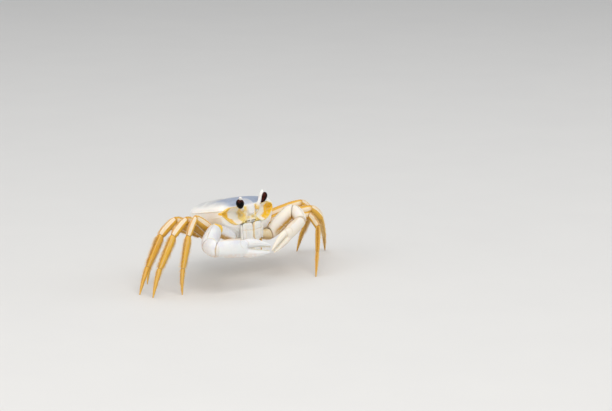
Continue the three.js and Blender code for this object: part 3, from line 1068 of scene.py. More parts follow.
def shown(name: str, mesh: bpy.types.Mesh, material: Material) -> Piece:
    """Puts a mesh in the scene.

    Args:
        name: the piece's name, and its mesh's.
        mesh: the mesh.
        material: its one material.

    Returns:
        The piece.
    """
    piece = bpy.data.objects.new(name, mesh)
    mesh.name = name
    mesh.materials.clear()
    mesh.materials.append(material)
    bpy.context.scene.collection.objects.link(piece)
    return piece


def made_plain(piece: Piece) -> Piece:
    """Turns a piece with modifiers into a plain mesh that looks the same.

    Args:
        piece: the piece.

    Returns:
        The same piece.
    """
    graph = bpy.context.evaluated_depsgraph_get()
    made = bpy.data.meshes.new_from_object(piece.evaluated_get(graph), depsgraph=graph)
    before = piece.data
    piece.modifiers.clear()
    piece.data = made
    made.name = piece.name
    bpy.data.meshes.remove(before)
    return piece


def seated(piece: Piece, slot: Slot, *nodes: str) -> Piece:
    """Makes a piece ride on the crab's one body, and stand for the solids that it replaces.

    Args:
        piece: the finished piece.
        slot: not used.
        nodes: the solids that it stands for, if any.

    Returns:
        The piece.
    """
    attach(piece, "root")
    if nodes:
        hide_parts(*nodes)
    LOG.info("%s: %d faces", piece.name, len(piece.data.polygons))
    return piece


class Workshop:
    """Every material and every tree, each made once, and what is done with them again and again."""

    def __init__(self) -> None:
        """Makes all the materials and trees."""
        self.finishes = {key: finish.paint(f"{key}_finish") for key, finish in FINISHES.items()}
        self.rows = {grain: RowTree(grain) for grain in Grain}
        self.granules = ScatterTree()
        self.hairs = HairTree()

    def plate(self, name: str, surface: Surface, finish: str, slot: Slot, *nodes: str) -> Piece:
        """Shows a closed surface, and seats it as what stands for the nodes."""
        return seated(shown(name, surface.mesh(name), self.finishes[finish]), slot, *nodes)

    def row(
        self, name: str, grain: Grain, lines: Sequence[Line], finish: str, slot: Slot, **sizes: float
    ) -> None:
        """Stands grains in rows.

        Args:
            name: the piece's name.
            grain: what stands there.
            lines: for each row its points, in millimetres, and the way that the grains point at each.
            finish: the grains' finish.
            slot: not used.
            sizes: the tree's inputs.
        """
        points, outward = (np.vstack(values) for values in zip(*lines))
        starts = np.cumsum([len(line[0]) for line in lines])
        edges = [(i, i + 1) for i in range(len(points) - 1) if i + 1 not in starts]
        mesh = bpy.data.meshes.new(name)
        mesh.from_pydata((points * METRE).tolist(), edges, [])
        store_masks(mesh, {"outward": outward})
        material = self.finishes[finish]
        seated(self.rows[grain].grown(shown(name, mesh, material), Material=material, **sizes), slot)

    def scatter(self, name: str, mesh: bpy.types.Mesh, finish: str, slot: Slot, **sizes: float) -> None:
        """Scatters granules over a plate's mesh, which they take the place of."""
        material = self.finishes[finish]
        seated(self.granules.grown(shown(name, mesh, material), Material=material, **sizes), slot)

    def coat(self, name: str, surfaces: Sequence[Surface], slot: Slot, seed: int) -> None:
        """Grows the hair of a limb.

        Args:
            name: the piece's name.
            surfaces: the limb's plates.
            slot: not used.
            seed: the random seed.
        """
        material = self.finishes["hair"]
        skin = shown(name, joined(surfaces).mesh(name), material)
        seated(self.hairs.grown(skin, Material=material, Seed=seed), slot)


# ---------- trunk

FRONT_IS_MINUS_Y = np.array([1.0, -1.0, 1.0])


@dataclass(frozen=True)
class Orbit:
    """The hollow that an eye folds down into, measured on the front wall as out and up."""

    inner: float = width(0.1)
    outer: float = width(0.462)
    level: float = width(-0.086)
    slope: float = 0.16
    height: float = width(0.21)
    depth: float = width(0.07)
    opening: Shares = (0.42, 0.5, 0.5, 0.36, 0.08)

    @property
    def length(self) -> float:
        """Gives the hollow's width from its inner to its outer end."""
        return self.outer - self.inner

    def centre(self, share: Array) -> Array:
        """Gives the height of the hollow's middle line."""
        sag = self.height * 0.08 * np.sin(np.pi * held(share))
        return self.level + self.slope * share * self.length - sag

    def half(self, share: Array) -> Array:
        """Gives the hollow's half height."""
        return self.height * read_at(self.opening, held(share)) * rounded_ends(held(share), 3)

    def measure(self, place: Array) -> tuple[Array, Array, Array]:
        """Measures points against the hollow.

        Args:
            place: points as out, front and up.

        Returns:
            Their share of the hollow's width, their distance outside its margin, which is below 0 inside, and
            their height above its middle line.
        """
        share = (np.abs(place[:, 0]) - self.inner) / self.length
        above = place[:, 2] - self.centre(share)
        gap = np.abs(above) - self.half(share)
        beyond = np.maximum(np.maximum(-share, share - 1.0), 0.0) * self.length
        outside = np.sqrt(np.maximum(gap, 0.0) ** 2 + beyond**2)
        facing = span(place[:, 1], 0.18, 0.3)
        distance = np.where((gap < 0) & (beyond == 0), gap, outside) + (1.0 - facing) * CARAPACE_WIDTH
        return share, distance, above


@dataclass(frozen=True)
class TrunkShape:
    """The trunk's outline from above, its dome above the edge, and its belly below it."""

    half_width: float = width(0.49)
    front: float = width(0.415)
    rear: float = width(0.455)
    narrowing: float = 0.2
    corner_front: float = 9.0
    corner_rear: float = 5.0
    tooth: float = 0.018
    tooth_reach: float = 0.1
    front_bow: float = 0.12
    dome: float = width(0.15)
    belly_front: float = width(0.45)
    belly_rear: float = width(0.34)
    dome_power: float = 2.4
    side_power: float = 2.1
    face_power: float = 5.5
    rear_power: float = 2.4

    def belly(self, ahead: Array) -> Array:
        """Gives the belly's depth from its rear end, at -1, to its front, at 1."""
        return self.belly_rear + (ahead + 1.0) / 2 * (self.belly_front - self.belly_rear)

    def surface(self, turn: Array, fall: Array) -> Array:
        """Gives points of the plain trunk.

        Args:
            turn: the angle from the left side round over the front.
            fall: the angle from the top, over a right angle at the edge, to the middle below.

        Returns:
            The points as out to the left, front and up.
        """
        c, s = np.cos(turn), np.sin(turn)
        corner = np.where(s > 0, self.corner_front, self.corner_rear)
        reach = (np.abs(c) ** corner + np.abs(s) ** corner) ** (-1.0 / corner)
        out, ahead = reach * c, reach * s
        narrow = 1.0 - self.narrowing * ramp(-ahead, -0.6, 1.4)
        from_tooth = np.abs(out) - np.maximum(ahead, 0.0)
        tooth = 1.0 + self.tooth * hill(from_tooth, self.tooth_reach)
        bow = np.where(s > 0, 1.0 - self.front_bow * out**2, 1.0)
        above = fall < np.pi / 2
        power = np.where(above, self.dome_power, self.side_power)
        drop, side = np.abs(np.cos(fall)), np.abs(np.sin(fall))
        length = (drop**power + side**power) ** (-1.0 / power)
        spread, rise = length * side, length * drop
        end_power = np.where(above, self.dome_power, np.where(s > 0, self.face_power, self.rear_power))
        spread_ahead = spread ** (power / end_power)
        up = np.where(above, self.dome, -self.belly(ahead * spread_ahead)) * rise
        fore = np.where(s > 0, self.front, self.rear)
        left = out * narrow * tooth * spread * self.half_width
        return np.column_stack([left, ahead * bow * tooth * spread_ahead * fore, up])

    def normals(self, turn: Array, fall: Array, step: float = 2e-3) -> Array:
        """Gives the outward normals at the same points.

        Args:
            turn: the angle round the trunk.
            fall: the angle from the top.
            step: how far apart the points lie that a slope is read from, in radians.

        Returns:
            The normals.
        """
        kept = np.clip(fall, step, np.pi - step)
        round_it = self.surface(turn + step, kept) - self.surface(turn - step, kept)
        down_it = self.surface(turn, kept + step) - self.surface(turn, kept - step)
        normal = np.cross(round_it, down_it)
        normal /= np.maximum(np.linalg.norm(normal, axis=1, keepdims=True), 1e-9)
        outward = np.sign(np.einsum("ij,ij->i", normal, self.surface(turn, kept)))
        return normal * np.where(outward == 0, 1.0, outward)[:, None]

    def belly_line(self, place: Array, reach: float) -> tuple[Array, Array]:
        """Gives the lower middle line, from the hindmost point under the belly and forwards.

        Args:
            place: how far along the line, from 0 at the hindmost point.
            reach: how quickly the line runs forwards.

        Returns:
            How far back and how far up each place lies.
        """
        ahead = reach * place**2 - 1.0
        power = np.where(ahead > 0, self.face_power, self.rear_power)
        up = -self.belly(ahead) * (1.0 - np.abs(ahead) ** power) ** (1 / self.side_power)
        return -ahead * np.where(ahead > 0, self.front, self.rear), up


@dataclass(frozen=True)
class Flap:
    """The tail, folded under the trunk: seven plates that narrow forwards."""

    trunk: TrunkShape
    half_width: float = width(0.15)
    thickness: float = width(0.06)
    start: float = 0.12
    reach: float = 1.45
    blunt: float = 6
    breadth: Shares = (0.9, 1.0, 1.0, 0.95, 0.8, 0.55, 0.42, 0.36, 0.28)
    seams: Shares = (0.1, 0.24, 0.38, 0.52, 0.67, 0.83)

    def line(self, share: Array, step: float = 0.0) -> tuple[Array, Array]:
        """Gives the trunk's lower middle line under the flap, as back and up."""
        return self.trunk.belly_line(self.start + (1.0 - self.start) * share + step, self.reach)

    def shape(self, share: Array, angle: Array) -> Shaped:
        """Shapes the flap in the trunk's frame.

        Args:
            share: the places along it.
            angle: the angles round it.

        Returns:
            The points and the masks.
        """
        back, up = self.line(share)
        next_back, next_up = self.line(share, 0.01)
        normal = unit(np.column_stack([up - next_up, next_back - back]))
        end = rounded_ends(share, self.blunt)
        seam = sum(hill(share - where, 0.011) for where in self.seams)
        across = -signed_power(np.cos(angle), 0.8) * end * read_at(self.breadth, share) * self.half_width
        crown = 1.0 - 0.35 * np.cos(angle) ** 4 * np.sign(np.sin(angle))
        thick = self.thickness / 2 * np.where(np.sin(angle) > 0, crown, 1.0)
        lift = signed_power(np.sin(angle), 0.8) * end * thick * (1.0 - 0.35 * seam) + self.thickness * 0.1
        points = [across * (1.0 - 0.05 * seam), back + normal[:, 0] * lift, up + normal[:, 1] * lift]
        return np.column_stack(points), {"seam": held(seam) * 0.7}

    def covers(self, place: Array) -> Array:
        """Tells, from 0 to 1, where the trunk lies under the flap.

        Args:
            place: points as out, front and up.

        Returns:
            The cover at each point.
        """
        ahead = place[:, 1] / np.where(place[:, 1] > 0, self.trunk.front, self.trunk.rear)
        along = np.sqrt(np.clip(ahead + 1.0, 0.0, None) / self.reach)
        share = (along - self.start) / (1.0 - self.start)
        rows = np.linspace(0.0, 0.3, 40)
        heights = self.line(rows)[1]
        rounded = np.interp(-place[:, 2], -heights, rounded_ends(rows, self.blunt), left=0.0)
        half = read_at(self.breadth, share) * self.half_width * rounded + JOINT_GAP
        below = ramp(place[:, 2], heights[0] + 0.3, heights[0] - 0.1)
        within = ramp(np.abs(place[:, 0]) - half, 0.35, -0.1)
        return within * below * ramp(share, 1.05, 0.99)


@dataclass(frozen=True)
class Socket:
    """Where a limb leaves the trunk: a ring of soft skin about the coxa."""

    start: Array
    aim: Array
    radius: float

    def ring(self, points: Array) -> Array:
        """Tells how near points lie to the coxa's root.

        Args:
            points: points in the world.

        Returns:
            A number from 0 to 1 for each.
        """
        offset = points - self.start
        along = offset @ self.aim
        away = np.linalg.norm(offset - np.outer(along, self.aim), axis=1)
        return ramp(away, self.radius * 1.45, self.radius * 1.1) * ramp(along, -0.5, 1.0)


@dataclass(frozen=True)
class Mouth:
    """One outer mouth plate with its slender outer blade."""

    side: Side
    front: float
    across: float = width(0.17)
    top: float = width(-0.2)
    length: float = width(0.24)
    thickness: float = width(0.05)
    lean: float = 7.0
    wide: Shares = (0.48, 0.51, 0.51, 0.49, 0.44)
    high: Shares = (0.46, 0.55, 0.56, 0.5, 0.38)

    def plate(self, share: Array, angle: Array) -> Shaped:
        """Shapes the plate: two segments, a long furrow and a raised inner edge.

        Args:
            share: the places along it.
            angle: the angles round it.

        Returns:
            The points and the masks.
        """
        end = rounded_ends(share, 5)
        across = signed_power(np.cos(angle), 0.8)
        outward = across * self.side.sign
        upper = np.sin(angle) > 0
        seam = hill(share + 0.05 * outward - 0.4, 0.016)
        seam = seam + 0.7 * hill(outward - 0.52, 0.05) * ramp(share, 0.05, 0.15)
        crown = signed_power(np.sin(angle), 0.85) * (1.0 - 0.34 * held(seam) * upper)
        crown = crown - 0.22 * hill(outward + 0.25, 0.2) * upper
        crown = crown * read_at(self.high, share) * self.thickness * end
        across = across * read_at(self.wide, share) * self.across * end
        stain = seam * 0.5 + hill(outward + 0.95, 0.12) * 0.7
        return np.column_stack([share * self.length, across, crown]), {"seam": held(stain)}

    def blade(self, share: Array, angle: Array) -> Shaped:
        """Shapes the slender blade along the plate's outer edge.

        Args:
            share: the places along it.
            angle: the angles round it.

        Returns:
            The points and the masks.
        """
        end = rounded_ends(share, 3)
        across = self.side.sign * width(0.1) + np.cos(angle) * width(0.014) * end
        high = np.sin(angle) * width(0.018) * end - width(0.004)
        return np.column_stack([(0.06 + share * 0.9) * self.length, across, high]), {"seam": 0.0 * share}

    def build(self, shop: Workshop) -> None:
        """Builds and seats both pieces.

        Args:
            shop: the workshop.
        """
        side, lean = self.side, math.radians(self.lean)
        start = side.in_trunk(self.front + width(0.008), self.across / 2 + JOINT_GAP * 0.7, self.top)
        down = side.in_trunk(-math.sin(lean), -0.03, -math.cos(lean))
        matrix = TRUNK_FRAME @ piece_frame(start, down, side.in_trunk(1.0, 0.12, 0.0))
        plate = tube(70, 72, self.plate).moved(matrix)
        shop.plate(f"mouth_plate_{side.value}", plate, "mouth", Slot.BELLY, f"maxilliped_{side.value}")
        shop.plate(f"mouth_blade_{side.value}", tube(40, 24, self.blade).moved(matrix), "mouth", Slot.BELLY)


@dataclass(frozen=True)
class Feeler:
    """A short ringed feeler on the face, with its root and aim as front, out and up."""

    root: Shares
    aim: Shares
    length: float
    radius: float
    rings: int = 11
    ring_depth: float = 0.09
    bow: float = 0.18

    def shape(self, share: Array, angle: Array) -> Shaped:
        """Shapes the feeler, which tapers and bows.

        Args:
            share: the places along it.
            angle: the angles round it.

        Returns:
            The points and the masks.
        """
        ringed = 1.0 + self.ring_depth * np.cos(share * 2 * math.pi * self.rings)
        radius = self.radius * (1.15 - share) ** 0.8 * ringed * rounded_ends(share, 8)
        high = np.sin(angle) * radius + self.length * self.bow * share**2
        return np.column_stack([self.length * share, np.cos(angle) * radius, high]), {"base": 1.0 - share}

    def surface(self, side: Side, front: float) -> Surface:
        """Gives the feeler in the world.

        Args:
            side: the side of the face.
            front: how far ahead the face lies.

        Returns:
            The closed surface.
        """
        ahead, out, up = self.root
        frame_there = piece_frame(side.in_trunk(front + ahead, out, up), side.in_trunk(*self.aim),
                                  side.in_trunk(0.0, 0.0, 1.0))
        return tube(60, 12, self.shape).moved(TRUNK_FRAME @ frame_there)


FEELERS = (
    Feeler((width(-0.008), width(0.093), width(-0.1)), (0.6, 0.42, 0.55), width(0.12), width(0.0058)),
    Feeler((width(-0.008), width(0.045), width(-0.125)), (0.5, 0.75, -0.1), width(0.05), width(0.0075)),
)


@dataclass
class Trunk:
    """The carapace with its face, the breast plate, the tail flap, the mouth plates and the feelers."""

    sockets: Sequence[Socket]
    shape: TrunkShape = field(default_factory=TrunkShape)
    orbit: Orbit = field(default_factory=Orbit)
    parting_level: float = width(-0.31)
    parting_fall: float = 15.0
    rostrum_half: float = width(0.074)
    rostrum_tip: float = width(-0.094)
    rostrum_height: float = width(0.036)
    groove: float = 0.32
    rings: int = 196
    front_columns: int = 300
    other_columns: int = 190
    face_from: float = 42.0
    seam_fans: tuple[Shares, ...] = ((0.2, 0.35), (0.08, 0.12), (-0.04, -0.08), (-0.15, -0.3))

    @property
    def flap(self) -> Flap:
        """Gives the tail flap."""
        return Flap(self.shape)

    def surface(self) -> Surface:
        """Gives the whole trunk, with its columns crowded over the face, and its rings about the eye sockets.

        Returns:
            The closed surface.
        """
        start, end = math.radians(self.face_from), math.radians(180.0 - self.face_from)
        front = np.linspace(start, end, self.front_columns, endpoint=False)
        rest = np.linspace(end, start + 2 * math.pi, self.other_columns, endpoint=False)
        falls = spaced(self.rings, self.crowded)
        return closed_grid(falls, np.concatenate([front, rest]), self.place)

    def crowded(self, share: Array) -> Array:
        """Tells how close the rings lie, from the top down."""
        return 1.0 + 2.2 * ramp(share, 0.36, 0.42) * ramp(share, 0.74, 0.66)

    def rostrum(self, out: Array, up: Array) -> tuple[Array, Array]:
        """Shapes the short rostrum between the eyes.

        Args:
            out: how far out points lie.
            up: how far up they lie.

        Returns:
            How far they move to the front, and how much each is the rostrum's.
        """
        tip = self.rostrum_tip
        taper = self.rostrum_half * (0.7 + 0.3 * ramp(up, tip, tip + width(0.07)))
        column = ramp(out, taper * 1.2, taper * 0.7)
        length = ramp(up, tip - 0.3, tip + 0.8) * span(up, 0.15, 0.04)
        dip = 0.3 * hill(out, width(0.02)) * span(up, -0.02, 0.05)
        return (self.rostrum_height * column - dip) * length, column * ramp(up, tip, tip + 0.5)

    def face_relief(self, place: Array) -> Shaped:
        """Carves the face: eye sockets, rostrum, mouth frame and the slits of the mouth.

        Args:
            place: points as out, front and up.

        Returns:
            How far each point moves to the front, and the masks of the face.
        """
        out, up = np.abs(place[:, 0]), place[:, 2]
        facing = span(place[:, 1], 0.2, 0.32)
        share, distance, above = self.orbit.measure(place)
        inside = ramp(distance, 0.15, -self.orbit.height * 0.26)
        rim = 0.42 * hill(distance - 0.35, 0.42) * ramp(share, -0.1, 0.15)
        well = hill(out - width(0.13), width(0.045)) * hill(up - width(-0.035), width(0.05))
        rostrum, on_rostrum = self.rostrum(out, up)
        mouth_frame = span(out, 0.19, 0.17) * span(up, -0.19, -0.215)
        # The slits' mask is painted near-black brown: painted shadow in the groove.
        slit = hill(up - width(-0.178), 0.22) * span(out, 0.105, 0.09) * ramp(out, 0.35, 0.7)
        fossa = hill(up - width(-0.118), 0.5) * hill(out - width(0.05), width(0.03))
        brow = hill(up - width(-0.245) - 0.25 * (out - width(0.2)), 0.4)
        brow = brow * span(out, 0.19, 0.25)
        on_face = rostrum - width(0.034) * well - width(0.04) * mouth_frame
        on_face = on_face - 0.7 * slit - 0.45 * fossa + 0.16 * brow
        push = rim - self.orbit.depth * inside**0.8 + on_face * facing
        outer_end = ramp(share, 0.54, 0.72) * ramp(distance, 1.2, 0.5)
        lower = span(above, 0.02, -0.01) * ramp(distance, 1.2, 0.6)
        lower = lower * ramp(distance, -3.3, -2.0) * ramp(share, 0.3, 0.55)
        height = np.abs(above) - self.orbit.half(np.maximum(share, 0.16))
        inner = ramp(share, 0.24, 0.08) * ramp(height, 1.9, 0.7) * span(out, 0.055, 0.085)
        upper = ramp(above, 0.0, 0.4) * ramp(distance, 0.75, 0.3) * ramp(distance, -1.0, -0.3)
        lip = span(out, 0.17, 0.13) * hill(up - width(-0.128), 1.15)
        return push, {
            "rim": held(np.maximum(outer_end, lower)),
            "inner_rim": held(inner + 0.4 * upper) * facing,
            # hollow: where the sockets are painted pale, partly as painted light against their shade.
            "hollow": inside * 0.85,
            "lip": held(lip) * facing * (1.0 - on_rostrum),
            "slit": held(slit * 1.3) * facing,
            # Painted shade low on the face, and a greyer rostrum.
            "cheek": np.maximum(span(up, -0.2, -0.26), 0.6 * on_rostrum) * facing,
        }

    def back_relief(self, place: Array) -> Shaped:
        """Raises the side margins and carves the back's grooves.

        Args:
            place: points as out, front and up.

        Returns:
            How far each point moves outwards, and the masks of the back.
        """
        out, ahead, up = np.abs(place[:, 0]), place[:, 1], place[:, 2]
        top = span(up, 0.035, 0.09)
        side = span(ahead, -0.34, -0.2) * span(out, 0.3, 0.38)
        margin = 0.34 * hill(up - width(0.01), 0.34) * side
        second = 0.16 * hill(up - width(-0.1) - 0.1 * ahead, 0.3) * side * span(ahead, 0.1, 0.3)
        long_groove = hill(out - width(0.095) - 0.25 * np.abs(ahead), 0.45) * span(np.abs(ahead), 0.2, 0.12)
        cross_groove = hill(ahead - width(-0.03) - 0.35 * out, 0.5) * span(out, 0.12, 0.2)
        cross_groove = cross_groove * span(out, 0.38, 0.3)
        middle = hill(ahead - width(-0.06), 0.5) * span(out, 0.12, 0.07)
        grooves = held(long_groove + cross_groove + middle) * top
        swelling = hill(out - width(0.27), width(0.12)) * hill(ahead - width(-0.13), width(0.2)) * top
        heart = hill(out, width(0.1)) * hill(ahead - width(-0.2), width(0.1)) * top
        rear_ridge = 0.2 * hill(ahead - width(-0.405), 0.3) * span(up, 0.02, 0.05)
        blue = span(up, 0.03, 0.066) * span(ahead, -0.06, 0.2)
        move = margin + second - self.groove * grooves + 0.3 * swelling + 0.2 * heart + rear_ridge
        return move, {
            "dome": span(up, 0.05, 0.11),
            "back": blue * span(out, 0.43, 0.25),
            "marks": held(top * (0.35 + 0.65 * grooves + 0.3 * heart)),
        }

    def place(self, share: Array, turn: Array) -> Shaped:
        """Gives the trunk's carved points in the world.

        Args:
            share: the share of a half turn from the top to the middle below.
            turn: the angle from the left side round over the front.

        Returns:
            The points and all the trunk's masks.
        """
        fall = share * math.pi
        plain = self.shape.surface(turn, fall)
        normal = self.shape.normals(turn, fall)
        push, masks = self.face_relief(plain)
        move, more = self.back_relief(plain)
        move = move - self.flap.covers(plain) * (self.flap.thickness * 0.62 + JOINT_GAP)
        carved = plain + normal * move[:, None]
        carved[:, 1] += push
        points = placed(carved * FRONT_IS_MINUS_Y, TRUNK_FRAME)
        rings = np.max([socket.ring(points) for socket in self.sockets], axis=0)
        outward = (normal * FRONT_IS_MINUS_Y) @ TRUNK_FRAME[:3, :3].T
        points = points - outward * (rings * 0.5)[:, None]
        masks = {**masks, **more, "seam": self.breast_seams(plain, rings)}
        return points, {**masks, "grain": self.granulation(plain, masks, rings)}

    def breast_seams(self, place: Array, rings: Array) -> Array:
        """Gives the seams between the breast's plates, which fan out to the legs.

        Args:
            place: points as out, front and up.
            rings: how near each lies to a limb's root.

        Returns:
            The seams, from 0 to 1.
        """
        out, ahead = np.abs(place[:, 0]), place[:, 1]
        fans = (hill(ahead - width(start) - fan * (out - width(0.1)), 0.26) for start, fan in self.seam_fans)
        below = span(place[:, 2], -0.2, -0.26) * span(out, 0.03, 0.08)
        return held(sum(fans) * below * 0.6 + rings * 0.8)

    def granulation(self, place: Array, masks: Masks, rings: Array) -> Array:
        """Tells where the shell carries raised granules: its flanks and shoulders, and not the hollows.

        Args:
            place: points as out, front and up.
            masks: the trunk's masks.
            rings: how near each point lies to a limb's root.

        Returns:
            How close the granules stand, from 0 to 1.
        """
        out, ahead, up = np.abs(place[:, 0]), place[:, 1], place[:, 2]
        shoulder = span(out, 0.2, 0.36) * span(up, -0.02, 0.03)
        flank = span(up, 0.02, -0.04) * span(out, 0.3, 0.4) * 0.4
        rear = span(ahead, -0.2, -0.35) * ramp(up, 0.0, width(0.04)) * 0.6
        clear = (1.0 - masks["hollow"]) * (1.0 - masks["slit"]) * (1.0 - rings)
        return np.maximum(np.maximum(shoulder, flank), rear) * clear

    def parted(self, surface: Surface, name: str, above: bool, material: Material) -> Piece:
        """Cuts the trunk's surface where carapace and breast meet, and closes what is kept.

        Args:
            surface: the whole trunk.
            name: the piece's name.
            above: whether the part above the plane is kept.
            material: the piece's material.

        Returns:
            The piece.
        """
        mesh = surface.mesh(name)
        fall = math.radians(self.parting_fall)
        kept = TRUNK_FRAME[:3, :3] @ np.array([0.0, -math.sin(fall), math.cos(fall)])
        kept = kept * (1.0 if above else -1.0)
        origin = placed(np.array([0.0, 0.0, self.parting_level]), TRUNK_FRAME) + kept * JOINT_GAP / 2
        work = bmesh.new()
        work.from_mesh(mesh)
        geometry = [*work.verts, *work.edges, *work.faces]
        bmesh.ops.bisect_plane(
            work, geom=geometry, dist=1e-7, plane_co=origin * METRE, plane_no=kept, clear_inner=True
        )
        rim = [edge for edge in work.edges if edge.is_boundary]
        for face in bmesh.ops.holes_fill(work, edges=rim)["faces"]:
            face.smooth = False
            for edge in face.edges:
                edge.smooth = False
        work.to_mesh(mesh)
        work.free()
        return shown(name, mesh, material)

    def build(self, shop: Workshop) -> None:
        """Builds and seats every piece of the trunk.

        Args:
            shop: the workshop.
        """
        whole = self.surface()
        shell = self.parted(whole, "carapace_shell", True, shop.finishes["carapace"])
        seated(shell, Slot.SHELL, "carapace")
        breast = self.parted(whole, "breast_plates", False, shop.finishes["breast"])
        seated(breast, Slot.BELLY, "sternum")
        flap = tube(120, 64, self.flap.shape).moved(TRUNK_FRAME)
        shop.plate("tail_flap", flap, "breast", Slot.BELLY, "abdomen")
        shop.scatter("carapace_granules", shell.data.copy(), "carapace", Slot.SHELL,
                     Radius=0.00015, Spacing=0.0006, Flatness=0.75, Seed=3)
        self.edge_beads(whole, shop)
        for side in Side:
            Mouth(side, self.shape.front).build(shop)
            feelers = joined([feeler.surface(side, self.shape.front) for feeler in FEELERS])
            shop.plate(f"feelers_{side.value}", feelers, "stalk", Slot.BELLY)

    def edge_beads(self, whole: Surface, shop: Workshop, count: int = 90) -> None:
        """Strings beads along the eye sockets' margins and along the carapace's side margins.

        Args:
            whole: the trunk's surface.
            shop: the workshop.
            count: how many points each line has.
        """
        local = placed(whole.points, np.linalg.inv(TRUNK_FRAME))
        share = np.linspace(0.04, 0.985, count)
        ahead = np.linspace(self.shape.front * 0.86, -self.shape.rear * 0.55, count)
        sockets, margins = [], []
        for side in Side:
            for sign, lift in ((-1.0, 0.42), (1.0, 0.3)):
                out = side.sign * (self.orbit.inner + share * self.orbit.length)
                up = self.orbit.centre(share) + sign * (self.orbit.half(share) + lift)
                line = nearest(local, np.column_stack([out, up]), [0, 2], local[:, 1] < 0)
                sockets.append(trunk_line(line, side.in_trunk(0.85, 0.1, sign * 0.5)))
            target = np.column_stack([-ahead, np.full(count, width(0.012))])
            line = nearest(local, target, [1, 2], local[:, 0] * side.sign > 0)
            margins.append(trunk_line(line, side.in_trunk(0.25, 1.0, 0.35)))
        sizes = {"Spacing": 0.00046, "Radius": 0.0002, "Height": 0.00026, "Seed": 5}
        shop.row("socket_beads", Grain.BEAD, sockets, "socket_bead", Slot.SHELL, **sizes)
        shop.row("margin_beads", Grain.BEAD, margins, "bead", Slot.SHELL, **sizes)


def nearest(points: Array, targets: Array, axes: list[int], allowed: Array, evenings: int = 6) -> Array:
    """Finds the carved surface's points nearest to a line, and evens them out.

    Args:
        points: the surface's points.
        targets: the line, in two of the three axes.
        axes: those two axes.
        allowed: which of the points may be chosen.
        evenings: how often the line found is evened out.

    Returns:
        One point for each target.
    """
    pool = points[allowed]
    found = np.array([pool[np.argmin(((pool[:, axes] - target) ** 2).sum(axis=1))] for target in targets])
    for _ in range(evenings):
        found[1:-1] = (found[:-2] + 2 * found[1:-1] + found[2:]) / 4
    return found


def trunk_line(points: Array, outward: Array) -> Line:
    """Takes a line on the trunk, and the way its grains point, into the world."""
    return placed(points, TRUNK_FRAME), np.tile(TRUNK_FRAME[:3, :3] @ outward, (len(points), 1))


# ---------- eyes


@dataclass(frozen=True)
class Eye:
    """An eye on its stalk: the white stem runs up behind the black eye and past it as a small knob."""

    side: Side
    stalk_aim: Shares
    eye_aim: Shares
    root: Shares = (width(0.405), width(0.13), width(-0.04))
    stalk_length: float = width(0.275)
    stalk_radius: float = width(0.029)
    stalk_swell: Shares = (1.35, 1.05, 0.86, 0.88, 1.0, 1.08, 1.0, 0.78)
    eye_length: float = width(0.16)
    eye_radius: float = width(0.053)
    eye_high: Shares = (0.78, 0.95, 1.04, 0.98)
    eye_wide: Shares = (0.72, 0.94, 1.06, 1.0)
    eye_start: float = width(0.108)
    eye_offset: float = width(0.04)
    notch: float = width(0.02)

    def stem(self, share: Array, angle: Array) -> Shaped:
        """Shapes the stalk.

        Args:
            share: the places along it.
            angle: the angles round it.

        Returns:
            The points and the masks.
        """
        radius = read_at(self.stalk_swell, share) * self.stalk_radius * rounded_ends(share, 5)
        flat = 1.0 - 0.12 * ramp(share, 0.25, 0.5)
        points = [share * self.stalk_length, np.cos(angle) * radius, np.sin(angle) * radius * flat]
        return np.column_stack(points), {"base": ramp(share, 0.3, 0.08)}

    def ball(self, share: Array, angle: Array) -> Shaped:
        """Shapes the eye, which is fullest above its middle and notched at its top about the stalk.

        Args:
            share: the places up it.
            angle: the angles round it.

        Returns:
            The points and the masks.
        """
        radius = self.eye_radius * rounded_ends(share, 2.2)
        across = np.cos(angle) * read_at(self.eye_wide, share) * radius
        high = np.sin(angle) * read_at(self.eye_high, share) * radius + self.eye_offset
        dip = self.notch * hill(across, self.eye_radius * 0.42) * ramp(share, 0.6, 1.0)
        inner = ramp(np.sin(angle), 0.3, -0.25) + 0.7 * ramp(share, 0.84, 1.0)
        along = share * self.eye_length + self.eye_start - dip
        return np.column_stack([along, across, high]), {"inner": held(inner)}

    def build(self, shop: Workshop) -> None:
        """Builds and seats the stalk and the eye.

        Args:
            shop: the workshop.
        """
        local = [self.side.in_trunk(*values) for values in (self.root, self.stalk_aim, self.eye_aim)]
        matrix = TRUNK_FRAME @ piece_frame(*local)
        side = self.side.value
        stem, ball = tube(90, 40, self.stem).moved(matrix), tube(80, 80, self.ball).moved(matrix)
        shop.plate(f"eye_stem_{side}", stem, "stalk", Slot.EYESTALK, f"eyestalk_{side}")
        shop.plate(f"eye_ball_{side}", ball, "cornea", Slot.CORNEA, f"eye_{side}")


# ---------- limbs


@dataclass(frozen=True)
class Bone:
    """One piece's middle line, from its joint with the piece before it to the next joint."""

    kind: str
    start: Array
    aim: Array
    length: float
    turn: float
    side: Side

    @property
    def end(self) -> Array:
        """Gives the next joint's place."""
        return self.start + self.aim * self.length

    def matrix(self, back: float = 0.0, roll: float = 0.0) -> Array:
        """Gives a frame with x along the bone and z towards its upper edge, begun behind its start."""
        thin = np.cross(UP, self.side.heading(self.turn, 0.0))
        return piece_frame(self.start - self.aim * back, self.aim, np.cross(self.aim, thin), roll)

    def parted(
        self, points: Array, soft: float, before: Optional["Bone"], after: Optional["Bone"] = None
    ) -> Array:
        """Presses points off the planes that part the bone's piece from its neighbours.

        Args:
            points: points in the world.
            soft: how far the pressed edges are rounded, in millimetres.
            before: the bone before this one, if any.
            after: the bone after it, if any.

        Returns:
            The points.
        """
        if before is not None:
            normal = unit(before.aim + self.aim)
            points = pressed(points, normal, float(normal @ self.start) + JOINT_GAP / 2, self.aim, soft)
        if after is not None:
            normal = -unit(self.aim + after.aim)
            points = pressed(points, normal, float(normal @ after.start) + JOINT_GAP / 2, -self.aim, soft)
        return points


